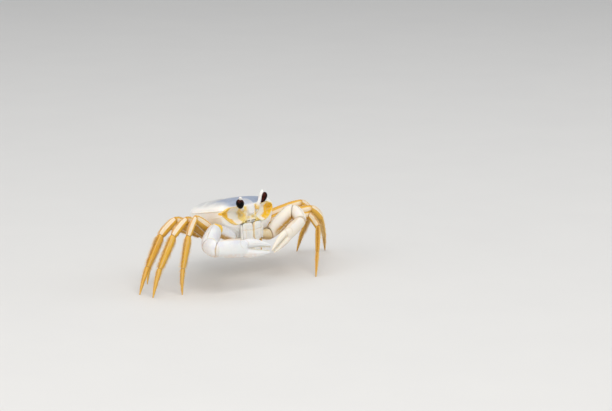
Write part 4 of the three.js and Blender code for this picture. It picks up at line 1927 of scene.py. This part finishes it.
@dataclass(frozen=True)
class Form:
    """The shape of one kind of piece, its half heights and thicknesses as shares of the carapace's width."""

    high: Shares
    thick: Shares
    bow: float = 0.0
    blunt: float = 4.0
    crest: float = 0.0
    flutes: int = 0
    flute_depth: float = 0.0
    pinch: float = 0.0


@dataclass
class LimbPiece:
    """One piece of a limb, pressed flat where it meets its neighbours."""

    bone: Bone
    form: Form
    stout: float
    overlap: float
    before: Optional[Bone]
    after: Optional[Bone]
    soft: float = 0.16

    @property
    def back(self) -> float:
        """Gives how far the piece reaches back past its joint."""
        return 0.0 if self.before is None else self.overlap

    @property
    def length(self) -> float:
        """Gives the piece's length with what reaches into its neighbours."""
        return self.bone.length + self.back + (0.0 if self.after is None else self.overlap)

    @property
    def matrix(self) -> Array:
        """Gives the piece's own frame."""
        return self.bone.matrix(self.back)

    def local(self, share: Array, angle: Array) -> Array:
        """Shapes the piece in its own frame.

        Args:
            share: the places along it, from 0 to 1.
            angle: the angles round it, which pass the upper edge at a right angle.

        Returns:
            The points.
        """
        form = self.form
        c, s = np.cos(angle), np.sin(angle)
        end = rounded_ends(share, form.blunt)
        middle = ramp(share, 0.04, 0.2) * ramp(share, 0.97, 0.84)
        ribs = 1.0 + form.flute_depth * middle * np.cos(form.flutes * angle)
        narrow = signed_power(c, 1.0 + form.crest * held(np.abs(s)) ** 2 * middle)
        pinch = 1.0 - form.pinch * middle * (hill(s - 0.52, 0.17) + 0.5 * hill(s + 0.6, 0.16))
        collar = 1.0 - 0.07 * hill(share - 0.925, 0.016) - 0.05 * hill(share - 0.075, 0.02)
        thick = width(read_at(form.thick, share)) * self.stout * collar
        high = width(read_at(form.high, share)) * self.stout * collar
        z = s * end * high * ribs + width(form.bow) * np.sin(np.pi * share)
        return np.column_stack([share * self.length, narrow * pinch * end * thick * ribs, z])

    def parted(self, share: Array, angle: Array) -> Array:
        """Gives points in the world, off the piece's neighbours and off the floor.

        Args:
            share: the places along the piece.
            angle: the angles round it.

        Returns:
            The points.
        """
        points = placed(self.local(share, angle), self.matrix)
        points = self.bone.parted(points, self.soft, self.before, self.after)
        points[:, 2] = np.maximum(points[:, 2], 0.0)
        return points

    def place(self, share: Array, angle: Array) -> Shaped:
        """Gives the piece's points in the world, and its masks."""
        points = self.parted(share, angle)
        return points, self.masks(share, angle, points)

    def masks(self, share: Array, angle: Array, points: Array) -> Masks:
        """Gives the masks that every limb's piece has.

        Args:
            share: the places along the piece.
            angle: the angles round it.
            points: the points in the world.

        Returns:
            The masks.
        """
        c, s = np.cos(angle), np.sin(angle)
        radial = np.column_stack([0.0 * share, c, s]) @ self.matrix[:3, :3].T
        ends = np.maximum(ramp(share, 0.13, 0.05), ramp(share, 0.88, 0.96))
        hair, reach = self.hairs(share, angle)
        return {
            "along": share,
            "high": s,
            # pale: the legs' own pale bands, and painted highlight.
            "pale": self.pale_band_and_highlight(s),
            "joint": ends,
            "hair": hair * ramp(points[:, 2], 1.2, 2.4),
            "lie": (radial * 0.8 + self.bone.aim * 0.75) * reach[:, None],
            "grain": ramp(s, 0.45, 0.9) * (1.0 - ends) * 0.8,
        }

    def pale_band_and_highlight(self, high: Array) -> Array:
        """Tells where this kind of piece is painted pale, partly its own colour and partly painted highlight:
        the merus on its flat faces, the carpus along its back.

        Args:
            high: how near points lie to the upper edge, from -1 to 1.

        Returns:
            The paleness of each, from 0 to 1.
        """
        if self.bone.kind == "merus":
            return ramp(high, -0.3, 0.0) * ramp(high, 0.78, 0.52)
        if self.bone.kind == "carpus":
            return ramp(high, 0.1, 0.4)
        return 0.3 * ramp(high, 0.0, 0.3) * ramp(high, 0.95, 0.7)

    def hairs(self, share: Array, angle: Array) -> tuple[Array, Array]:
        """Tells how the hair stands on this kind of piece.

        Args:
            share: the places along it.
            angle: the angles round it.

        Returns:
            How thick the hair stands, and how long it is.
        """
        s = np.sin(angle)
        upper, lower = ramp(s, 0.86, 0.97), ramp(s, -0.84, -0.96)
        within = ramp(share, 0.06, 0.16) * ramp(share, 0.97, 0.9)
        rows = 0.5 + 0.5 * np.cos(angle * max(self.form.flutes, 1))
        if self.bone.kind == "propodus":
            return within * (upper + 0.9 * lower + 0.16 * rows**6), 0.75 + 0.5 * np.maximum(upper, lower)
        if self.bone.kind == "dactyl":
            fade = ramp(share, 0.92, 0.6)
            thick = 0.7 * np.maximum(upper, lower) + 0.4 * rows**6
            return within * fade * thick, 0.45 + 0.45 * (1.0 - share)
        if self.bone.kind == "carpus":
            return within * (0.7 * upper + 0.35 * lower), np.full(len(s), 0.55)
        if self.bone.kind == "merus":
            return within * (0.32 * upper + 0.55 * lower), 0.35 + 0.35 * lower
        return np.zeros(len(s)), np.full(len(s), 0.4)

    def surface(self, column: int, rows: int = 66, columns: int = 40) -> Surface:
        """Gives the piece's closed surface, which takes one of the unwrap's five columns."""
        return tube(rows, columns, self.place, (column, 5))

    def edge_line(self, angle: float, first: float, last: float, count: int = 40) -> Line:
        """Gives a line along the piece at one angle.

        Args:
            angle: the line's angle in degrees, where 90 is the upper edge.
            first: the share of the length where it starts.
            last: the share where it ends.
            count: how many points it has.

        Returns:
            The points, and the way outwards at each.
        """
        around = np.full(count, math.radians(angle))
        points = self.parted(np.linspace(first, last, count), around)
        outward = self.matrix[:3, :3] @ np.array([0.35, math.cos(around[0]), math.sin(around[0])])
        return points, np.tile(outward, (count, 1))


@dataclass(frozen=True)
class JointSkin:
    """The soft skin in one joint, an egg with this half height and half thickness."""

    high: float
    thick: float
    plump: float = 1.4

    def shape(self, share: Array, angle: Array) -> Shaped:
        """Shapes the skin.

        Args:
            share: the places along it.
            angle: the angles round it.

        Returns:
            The points, and no masks.
        """
        end = rounded_ends(share, 2)
        length, thick, high = self.high * self.plump, self.thick, self.high
        return np.column_stack([share * length, np.cos(angle) * end * thick, np.sin(angle) * end * high]), {}


@dataclass
class Limb:
    """What legs and claw arms share: bones from the socket outwards, and a plate over each."""

    side: Side
    lengths: Shares
    socket: Shares
    stout: float
    bends: tuple[tuple[float, float], ...]

    FORMS: ClassVar[dict[str, Form]] = {}
    KINDS: ClassVar[tuple[str, ...]] = ()
    OVERLAP: ClassVar[float] = 0.0
    SKIN: ClassVar[float] = 0.8

    def bones(self) -> list[Bone]:
        """Lays out the bones."""
        return self.chained(self.bends)

    def chained(self, pose: Sequence[tuple[float, float]]) -> list[Bone]:
        """Lays bones end to end, from the limb's socket outwards.

        Args:
            pose: each one's turn and rise in degrees.

        Returns:
            As many bones as the pose has.
        """
        start = placed(self.side.in_trunk(*(width(share) for share in self.socket)), TRUNK_FRAME)
        bones: list[Bone] = []
        for kind, length, (turn, rise) in zip(self.KINDS, self.lengths, pose):
            bones.append(Bone(kind, start, self.side.heading(turn, rise), width(length), turn, self.side))
            start = bones[-1].end
        return bones

    def root(self) -> Socket:
        """Gives where the limb leaves the trunk."""
        bone = self.bones()[0]
        return Socket(bone.start, bone.aim, width(max(self.FORMS["coxa"].high)) * self.stout)

    def parts(self) -> list[tuple[Bone, Form, float, float, Optional[Bone], Optional[Bone]]]:
        """Gives what each plate is made from.

        Returns:
            Its bone, form, stoutness and overlap, and the bones before and after it.
        """
        bones = self.bones()
        padded = [None, *bones, None]
        rest = zip(bones, self.FORMS.values(), padded, padded[2:])
        return [(bone, form, self.stout, self.OVERLAP, before, after) for bone, form, before, after in rest]

    def joints(self, name: str, finish: str, shop: Workshop) -> None:
        """Fills the joints with soft skin that shows as a dark line between two plates.

        Args:
            name: the piece's name.
            finish: the skin's finish.
            shop: the workshop.
        """
        forms = list(self.FORMS.values())
        made = []
        for number, bone in enumerate(self.bones()[1:], 1):
            form = forms[min(number, len(forms) - 1)]
            high, thick = (width(sizes[0]) * self.stout * self.SKIN for sizes in (form.high, form.thick))
            skin = JointSkin(high, thick)
            made.append(tube(18, 24, skin.shape).moved(bone.matrix(high * skin.plump / 2)))
        shop.plate(name, joined(made), finish, Slot.LEG)


LEG_FORMS = {
    "coxa": Form((0.055, 0.065, 0.058), (0.048, 0.054, 0.046)),
    "merus": Form((0.052, 0.078, 0.088, 0.082, 0.072, 0.06), (0.038, 0.044, 0.048, 0.046, 0.042, 0.04),
                  0.014, 5.0, crest=0.55, pinch=0.16),
    "carpus": Form((0.052, 0.06, 0.062, 0.055), (0.037, 0.042, 0.043, 0.039), 0.012, crest=0.3, pinch=0.2),
    "propodus": Form((0.052, 0.053, 0.047, 0.038), (0.038, 0.036, 0.032, 0.026), 0.0, 5.0,
                     flutes=8, flute_depth=0.055),
    "dactyl": Form((0.036, 0.032, 0.026, 0.018, 0.008), (0.027, 0.025, 0.02, 0.014, 0.008), 0.01, 7.0,
                   flutes=6, flute_depth=0.1),
}


@dataclass
class Leg(Limb):
    """A walking leg whose point comes down to the floor."""

    name: str
    turns: tuple[float, float]
    steeper: float
    tip_wear: float = 0.3

    FORMS = LEG_FORMS
    KINDS = tuple(LEG_FORMS)
    OVERLAP = width(0.035)

    def steepness(self, height: float) -> float:
        """Finds the propodus's rise at which the dactyl's point comes down to the floor.

        Args:
            height: how high the propodus starts.

        Returns:
            The rise in degrees.
        """
        low, high = -88.0, 0.0
        propodus, dactyl = width(self.lengths[3]), width(self.lengths[4])
        for _ in range(30):
            middle = (low + high) / 2
            upper, lower = math.radians(middle), math.radians(middle - self.steeper)
            drop = -propodus * math.sin(upper) - dactyl * math.sin(lower)
            low, high = (middle, high) if drop > height else (low, middle)
        return low

    def bones(self) -> list[Bone]:
        """Lays out the five bones, the last two so that they reach the floor."""
        rise = self.steepness(float(self.chained(self.bends)[-1].end[2]) + self.tip_wear)
        return self.chained([*self.bends, (self.turns[0], rise), (self.turns[1], rise - self.steeper)])

    def build(self, shop: Workshop, seed: int) -> None:
        """Builds and seats the leg: its plates, joints, hair and serrated edges.

        Args:
            shop: the workshop.
            seed: the random seed.
        """
        pieces = [LimbPiece(*part) for part in self.parts()]
        label = f"{self.name}_{self.side.value}"
        surfaces = [piece.surface(i) for i, piece in enumerate(pieces)]
        for kind, surface in zip(self.KINDS, surfaces):
            finish = "coxa" if kind == "coxa" else "leg"
            shop.plate(f"{label}_{kind}_plate", surface, finish, Slot.LEG, f"{label}_{kind}")
        self.joints(f"{label}_joints", "membrane", shop)
        shop.coat(f"{label}_hair", surfaces, Slot.LEG, seed)
        edges = ((90, 0.16, 0.93), (-78, 0.2, 0.9), (-102, 0.2, 0.9))
        lines = [pieces[1].edge_line(*edge) for edge in edges]
        shop.row(f"{label}_edge_teeth", Grain.TOOTH, lines, "tooth", Slot.LEG,
                 Spacing=0.00052, Radius=0.00016, Height=0.00042, Seed=seed)


LEG_SIZES = {
    "leg1": ((0.14, 0.72, 0.26, 0.43, 0.36), (0.11, 0.3, -0.31), 0.92),
    "leg2": ((0.15, 0.79, 0.28, 0.46, 0.4), (0.01, 0.32, -0.3), 1.0),
    "leg3": ((0.15, 0.77, 0.27, 0.45, 0.39), (-0.11, 0.31, -0.29), 0.97),
    "leg4": ((0.13, 0.54, 0.2, 0.36, 0.32), (-0.22, 0.27, -0.26), 0.72),
}
LEG_POSES = {
    Side.LEFT: {
        "leg1": (((16, -14), (17, 11), (102, -30)), (136, 140), 16),
        "leg2": (((18, 5), (17, 12), (-9, -37)), (-38, -42), 14),
        "leg3": (((8, 8), (18, 18), (-8, -38)), (-66, -72), 12),
        "leg4": (((-26, 0), (-26, 15), (-30, -30)), (-32, -34), 10),
    },
    Side.RIGHT: {
        "leg1": (((14, 2), (23, 30), (15, -51)), (4, 0), 12),
        "leg2": (((14, 5), (23, 26), (0, -39)), (-4, -8), 12),
        "leg3": (((2, 6), (18, 25), (-14, -42)), (0, -8), 12),
        "leg4": (((-16, 0), (2, 18), (-5, -32)), (-20, -30), 10),
    },
}


def all_legs() -> list[Leg]:
    """Sets the eight legs in their places and poses.

    Returns:
        The legs, the left ones first.
    """
    return [
        Leg(side, *LEG_SIZES[name], bends, name, turns, steeper)
        for side, poses in LEG_POSES.items()
        for name, (bends, turns, steeper) in poses.items()
    ]


# ---------- claw arms

ARM_FORMS = {
    "coxa": Form((0.065, 0.075, 0.078), (0.055, 0.062, 0.062)),
    "merus": Form((0.08, 0.108, 0.12, 0.122, 0.112), (0.065, 0.088, 0.1, 0.1, 0.088), 0.015, 5.0, crest=0.3),
    "carpus": Form((0.085, 0.105, 0.108, 0.095), (0.07, 0.085, 0.085, 0.07), 0.012, crest=0.12),
}
ARM_SOCKET = (0.28, 0.22, -0.38)
COLLAR_PLACES = (0.86, 0.14, 0.14)


@dataclass
class ArmPiece(LimbPiece):
    """A piece of a claw arm, with its coloured ridge, and a collar near one end that faces one way."""

    ridge_angle: float = -70.0
    ridge_spread: float = 26.0
    collar: float = 0.0
    collar_at: float = 0.14

    def masks(self, share: Array, angle: Array, points: Array) -> Masks:
        """Adds the claw's own masks.

        Args:
            share: the places along the piece.
            angle: the angles round it.
            points: the points in the world.

        Returns:
            The masks.
        """
        c, s = np.cos(angle), np.sin(angle)
        from_ridge = np.degrees(np.angle(np.exp(1j * (angle - math.radians(self.ridge_angle)))))
        facing = ramp(np.maximum(c, s), 0.0, 0.4)
        joint = np.maximum(ramp(share, 0.13, 0.06), ramp(share, 0.95, 1.0))
        # The coxa's underside joins the joint mask: painted shade, laid with the dark joints.
        if self.bone.kind == "coxa":
            joint = np.maximum(joint, ramp(s, -0.1, -0.75))
        return {
            **super().masks(share, angle, points),
            "ridge": held(1.6 * hill(from_ridge, self.ridge_spread)) * ramp(share, 0.1, 0.25),
            "collar": self.collar * ramp(np.abs(share - self.collar_at), 0.12, 0.05) * facing,
            "bloom": ramp(s, -0.5, 0.6),
            # low: the underside, where painted shade goes.
            "low": ramp(s, -0.55, -0.9),
            "joint": joint,
            "grain": ramp(s, -0.2, 0.5) * ramp(share, 0.15, 0.3) * 0.8,
        }

    def hairs(self, share: Array, angle: Array) -> tuple[Array, Array]:
        """Keeps the arm bare but for a thin fringe along its lower edge."""
        lower = ramp(np.sin(angle), -0.86, -0.96)
        return 0.25 * lower * ramp(share, 0.1, 0.3), np.full(len(share), 0.4)


@dataclass(frozen=True)
class Finger:
    """One finger of a hand, whose sharp inner edge faces up, at +1, or down, at -1.

    The bow and the root's height are shares of the palm's depth, and its place is a share of the finger.
    """

    bow: float
    inner: float
    lift: float
    height: float
    onward: float = 0.0


FIXED_FINGER = Finger(-0.04, 1.0, -2.0, -0.24)


@dataclass
class Hand:
    """A palm with its fixed finger, and the free finger that closes on it."""

    length: float
    depth: float
    thickness: float
    finger: float
    matrix: Array
    cell: float = 0.23
    hinge_height: float = 0.22
    hinge_reach: float = 0.27
    palm_high: Shares = (0.37, 0.45, 0.5, 0.5, 0.43)
    palm_thick: Shares = (0.42, 0.47, 0.5, 0.46, 0.38)
    finger_high: Shares = (0.25, 0.24, 0.19, 0.13, 0.05)
    finger_thick: Shares = (0.3, 0.3, 0.25, 0.17, 0.07)

    @property
    def root(self) -> float:
        """Gives where the fingers' roots lie along the palm."""
        return self.length - self.finger * 0.2

    def seat(self, finger: Finger) -> Array:
        """Gives a finger's frame in the world."""
        root = np.array([self.root + self.finger * finger.onward, 0.0, self.depth * finger.height])
        return self.matrix @ (shifted(root) @ turned("y", -finger.lift))

    def palm(self, share: Array, angle: Array) -> Shaped:
        """Shapes the palm, which is fullest outside and has a blunt keel above and below.

        Args:
            share: the places along it.
            angle: the angles round it.

        Returns:
            The points, and no masks.
        """
        c, s = np.cos(angle), np.sin(angle)
        end = rounded_ends(share, 6)
        high = read_at(self.palm_high, share) * self.depth * end
        thick = read_at(self.palm_thick, share) * self.thickness * end
        y = signed_power(c, 1.0 + 0.25 * np.abs(s) ** 3) * thick
        z = s * high + self.depth * 0.03 * np.sin(np.pi * share)
        return np.column_stack([share * self.length, y, z]), {}

    def fingered(self, share: Array, angle: Array, finger: Finger) -> Shaped:
        """Shapes a finger with a sharp inner edge and two furrows along each face.

        Args:
            share: the places along it.
            angle: the angles round it.
            finger: which finger.

        Returns:
            The points, and no masks.
        """
        c, s = np.cos(angle), np.sin(angle)
        end = rounded_ends(share, 6)
        high = read_at(self.finger_high, share) * self.depth * end
        thick = read_at(self.finger_thick, share) * self.thickness * end
        sharp = signed_power(c, 1.0 + 0.9 * held(s * finger.inner) ** 2)
        furrows = 0.17 * hill(s + 0.42 * finger.inner, 0.13) + 0.12 * hill(s - 0.25 * finger.inner, 0.12)
        furrow = 1.0 - furrows * ramp(share, 0.2, 0.4)
        z = s * high + self.depth * finger.bow * np.sin(np.pi * share)
        return np.column_stack([share * self.finger * 1.2, sharp * furrow * thick, z]), {}

    def finger_surface(self, rows: int, columns: int, finger: Finger) -> Surface:
        """Gives a finger's closed surface in the world, with this many rings and points round each."""
        return tube(rows, columns, lambda s, a: self.fingered(s, a, finger)).moved(self.seat(finger))

    def tooth_line(self, finger: Finger, count: int = 60) -> Line:
        """Gives the line of a finger's inner edge, and the way its teeth point.

        Args:
            finger: which finger.
            count: how many points the line has.

        Returns:
            The points, and the way at each.
        """
        seat = self.seat(finger)
        edge = np.full(count, finger.inner * math.pi / 2)
        points, _ = self.fingered(np.linspace(0.3, 0.95, count), edge, finger)
        outward = seat[:3, :3] @ np.array([0.2, 0.0, finger.inner])
        return placed(points, seat), np.tile(outward, (count, 1))

    def masked(self, mesh: bpy.types.Mesh) -> bpy.types.Mesh:
        """Stores the hand's masks on a finished mesh.

        Args:
            mesh: the mesh, in the world.

        Returns:
            The same mesh.
        """
        flat = np.empty(len(mesh.vertices) * 3)
        mesh.vertices.foreach_get("co", flat)
        local = placed(flat.reshape(-1, 3) / METRE, np.linalg.inv(self.matrix))
        along = local[:, 0] / (self.length + self.finger)
        high = local[:, 2] / (self.depth / 2)
        hinge = np.array([self.root + 0.6, self.depth * self.hinge_height])
        away = np.linalg.norm(local[:, [0, 2]] - hinge, axis=1)
        crease = hill(away - self.depth * self.hinge_reach, 0.35) * 0.28 * ramp(high, -0.2, 0.2)
        on_palm = ramp(local[:, 0], self.length * 1.1, self.length * 0.85)
        store_masks(mesh, {
            "ridge": ramp(high, 0.78, 0.97) * on_palm * 0.4,
            "collar": 0.0 * high,
            "joint": held(0.25 * ramp(along, 0.062, 0.045) + crease),
            "bloom": ramp(high, -0.1, 0.6) * on_palm,
            # low: the hand's underside, where painted shade goes.
            "low": ramp(high, -0.45, -0.75) * ramp(along, 0.95, 0.6),
            "grain": on_palm * held(0.35 + 0.65 * ramp(np.abs(high), 0.35, 0.8)),
        })
        return mesh

    def fused(self, name: str, parted: Callable[[Array], Array], material: Material) -> Piece:
        """Melts the palm and its fixed finger into one plate.

        Args:
            name: the piece's name.
            parted: presses the palm's points off its neighbour.
            material: the plate's material.

        Returns:
            The palm.
        """
        palm = tube(90, 72, self.palm).moved(self.matrix)
        whole = joined([palm, self.finger_surface(70, 40, FIXED_FINGER)])
        whole.points = parted(whole.points)
        piece = shown(name, whole.mesh(name), material)
        remesh = piece.modifiers.new("melt", "REMESH")
        remesh.mode = "VOXEL"
        remesh.voxel_size = self.cell * METRE
        remesh.use_smooth_shade = True
        smooth = piece.modifiers.new("even", "SMOOTH")
        smooth.factor = 0.5
        smooth.iterations = 4
        made_plain(piece)
        self.masked(piece.data)
        return piece


@dataclass
class Arm(Limb):
    """A claw arm: coxa, merus and carpus, then the hand."""

    finger: float
    depth: float
    thickness: float
    roll: float
    open_by: float
    ridges: Shares
    collars: Shares
    finish: str
    root_finish: str

    FORMS = ARM_FORMS
    KINDS = (*ARM_FORMS, "palm")
    OVERLAP = width(0.045)

    def pieces(self) -> list[ArmPiece]:
        """Gives each plate its ridge and its collar.

        Returns:
            The three pieces before the hand.
        """
        own = zip(self.ridges, self.collars, COLLAR_PLACES)
        return [
            ArmPiece(*part, ridge_angle=ridge, collar=collar, collar_at=place)
            for part, (ridge, collar, place) in zip(self.parts(), own)
        ]

    def build(self, shop: Workshop, seed: int) -> None:
        """Builds and seats the whole arm.

        Args:
            shop: the workshop.
            seed: the random seed.
        """
        side = self.side.value
        pieces = self.pieces()
        surfaces = [piece.surface(i, 90, 64) for i, piece in enumerate(pieces)]
        for kind, surface in zip(ARM_FORMS, surfaces):
            finish = self.root_finish if kind == "coxa" else self.finish
            shop.plate(f"claw_{side}_{kind}", surface, finish, Slot.CLAW, f"arm_{side}_{kind}")
        self.joints(f"claw_{side}_joints", "soft_skin", shop)
        palm = self.build_hand(shop, seed)
        name = f"claw_{side}_granules"
        shop.scatter(name, joined(surfaces[1:]).mesh(name), self.finish, Slot.CLAW,
                     Radius=0.00017, Spacing=0.0007, Flatness=0.6, Seed=seed)
        shop.scatter(f"claw_{side}_palm_granules", palm.data.copy(), self.finish, Slot.CLAW,
                     Radius=0.00018, Spacing=0.0007, Flatness=0.65, Seed=seed + 2)
        lines = []
        for piece in pieces[1:]:
            lines += [piece.edge_line(90, 0.2, 0.92), piece.edge_line(piece.ridge_angle, 0.18, 0.93)]
        shop.row(f"claw_{side}_edge_teeth", Grain.TOOTH, lines, "tooth", Slot.CLAW,
                 Spacing=0.0008, Radius=0.00026, Height=0.0007, Seed=seed)
        shop.coat(f"claw_{side}_hair", surfaces, Slot.CLAW, seed + 1)

    def build_hand(self, shop: Workshop, seed: int) -> Piece:
        """Builds and seats the palm, the free finger and the fingers' teeth.

        Args:
            shop: the workshop.
            seed: the random seed.

        Returns:
            The palm.
        """
        side, material = self.side.value, shop.finishes[self.finish]
        *_, carpus, wrist = self.bones()
        matrix = wrist.matrix(self.OVERLAP, self.side.sign * self.roll)
        depth, thickness, reach = width(self.depth), width(self.thickness), width(self.finger)
        hand = Hand(wrist.length + self.OVERLAP, depth, thickness, reach, matrix)
        free = Finger(0.08, -1.0, self.open_by - 8.0, 0.22, 0.07)
        palm = hand.fused(f"claw_{side}_palm", lambda points: wrist.parted(points, 0.2, carpus), material)
        seated(palm, Slot.CLAW, f"arm_{side}_palm")
        name = f"claw_{side}_free_finger"
        finger = shown(name, hand.masked(hand.finger_surface(90, 56, free).mesh(name)), material)
        seated(finger, Slot.CLAW, f"arm_{side}_finger")
        lines = [hand.tooth_line(finger) for finger in (FIXED_FINGER, free)]
        shop.row(f"claw_{side}_teeth", Grain.TOOTH, lines, "tooth", Slot.CLAW,
                 Spacing=0.0008, Radius=0.00042, Height=0.0006, Variation=0.35, Seed=seed)
        return palm


def both_arms() -> list[Arm]:
    """Sets the large right arm, which is swung across the breast, and the small left one.

    Returns:
        The two arms.
    """
    return [
        Arm(Side.RIGHT, (0.42, 0.48, 0.24, 0.46), ARM_SOCKET, 1.04, ((7, 26), (34, -16), (77, 1), (170, -4)),
            finger=0.37, depth=0.25, thickness=0.16, roll=14.0, open_by=2.0, ridges=(-60.0, -50.0, -60.0),
            collars=(1.0, 1.0, 0.0), finish="claw", root_finish="claw"),
        Arm(Side.LEFT, (0.19, 0.48, 0.23, 0.4), ARM_SOCKET, 0.96, ((7, -10), (8, 36), (100, -30), (168, -20)),
            finger=0.34, depth=0.19, thickness=0.125, roll=8.0, open_by=0.0, ridges=(-115.0, -162.0, -150.0),
            collars=(0.0, 0.0, 0.0), finish="cream_claw", root_finish="coxa"),
    ]


# ---------- the whole crab, and its studio

EYE_AIMS = {
    Side.LEFT: ((0.13, 0.43, 0.9), (0.1, 0.9, -0.4)),
    Side.RIGHT: ((0.5, 0.47, 0.72), (0.3, 0.8, -0.6)),
}


@dataclass
class Crab:
    """The whole crab, put together from its parts, with the first random seed of its legs and of its arms."""

    leg_seed: int = 20
    arm_seed: int = 40
    arm_seed_step: int = 7

    def build(self) -> None:
        """Builds every part, from the trunk outwards."""
        shop = Workshop()
        legs, arms = all_legs(), both_arms()
        Trunk([limb.root() for limb in (*legs, *arms)]).build(shop)
        for side, (stalk, eye) in EYE_AIMS.items():
            Eye(side, stalk, eye).build(shop)
        for number, leg in enumerate(legs):
            leg.build(shop, self.leg_seed + number)
        for number, arm in enumerate(arms):
            arm.build(shop, self.arm_seed + self.arm_seed_step * number)


LIGHTS = {
    "key_light": ((-0.5, -0.9, 1.5), 1.3, 18.0, (1.0, 0.98, 0.95)),
    "side_light": ((-1.4, 0.1, 0.7), 1.3, 9.0, (1.0, 0.98, 0.95)),
    "fill_light": ((1.1, -0.9, 0.6), 1.2, 5.0, (0.95, 0.97, 1.0)),
    "top_light": ((0.2, 0.5, 1.6), 1.5, 7.0, (0.96, 0.98, 1.0)),
}


@dataclass
class Studio:
    """A plain pale floor, soft light and the camera."""

    floor_half: float = 6.0
    azimuth: float = -44.0
    elevation: float = 12.0
    distance: float = 1500.0
    frame_width: float = 347.0
    right_of_trunk: float = 43.5
    above_trunk: float = 2.0
    sensor: float = 36.0
    lit_point: Shares = (0.0, 0.0, 0.03)
    sky: Colour = (0.86, 0.88, 0.91)
    sky_strength: float = 0.4

    def directions(self) -> tuple[Vector, Vector, Vector]:
        """Works out how the camera is turned.

        Returns:
            Its right, up and backward directions.
        """
        turn, rise = math.radians(self.azimuth), math.radians(self.elevation)
        right = Vector((math.cos(turn), math.sin(turn), 0.0))
        away = Vector((-math.sin(turn), math.cos(turn), 0.0))
        up = away * math.sin(rise) + Vector((0.0, 0.0, math.cos(rise)))
        back = Vector((0.0, 0.0, math.sin(rise))) - away * math.cos(rise)
        return right, up, back

    def floor(self) -> None:
        """Lays the floor."""
        half = self.floor_half
        mesh = bpy.data.meshes.new("studio_floor")
        corners = [(-half, -half, 0), (half, -half, 0), (half, half, 0), (-half, half, 0)]
        mesh.from_pydata(corners, [], [(0, 1, 2, 3)])
        shown("studio_floor", mesh, FloorFinish().paint("floor_finish"))

    def light(self, name: str, place: Shares, size: float, watts: float, tint: Colour) -> None:
        """Hangs one soft square light that shines at the crab.

        Args:
            name: the light's name.
            place: where it hangs, in metres.
            size: its side, in metres.
            watts: its power.
            tint: its colour.
        """
        data = bpy.data.lights.new(name, "AREA")
        data.size = size
        data.energy = watts
        data.color = tint
        lamp = bpy.data.objects.new(name, data)
        lamp.location = place
        lamp.rotation_euler = (Vector(self.lit_point) - Vector(place)).to_track_quat("-Z", "Y").to_euler()
        bpy.context.scene.collection.objects.link(lamp)

    def camera(self) -> None:
        """Sets the camera, which looks a little down at the crab and leaves it small in the frame."""
        right, up, back = self.directions()
        aim = Vector(TRUNK_CENTRE.tolist()) + right * self.right_of_trunk + up * self.above_trunk
        data = bpy.data.cameras.new("studio_camera")
        data.sensor_width = self.sensor
        data.lens = self.sensor * self.distance / self.frame_width
        data.clip_start = 0.05
        data.clip_end = 50.0
        camera = bpy.data.objects.new("studio_camera", data)
        camera.location = (aim + back * self.distance) * METRE
        camera.rotation_euler = back.to_track_quat("Z", "Y").to_euler()
        bpy.context.scene.collection.objects.link(camera)
        bpy.context.scene.camera = camera

    def build(self) -> None:
        """Builds the studio."""
        self.floor()
        for name, light in LIGHTS.items():
            self.light(name, *light)
        world = bpy.data.worlds.new("studio_world")
        world.use_nodes = True
        sky = world.node_tree.nodes["Background"].inputs
        sky["Color"].default_value = (*self.sky, 1.0)
        sky["Strength"].default_value = self.sky_strength
        bpy.context.scene.world = world
        bpy.context.scene.view_settings.view_transform = "Standard"
        self.camera()


def main() -> None:
    """Builds the crab and its studio."""
    logging.basicConfig(level=logging.INFO, format="%(message)s")
    Crab().build()
    Studio().build()


if __name__ == "__main__":
    main()
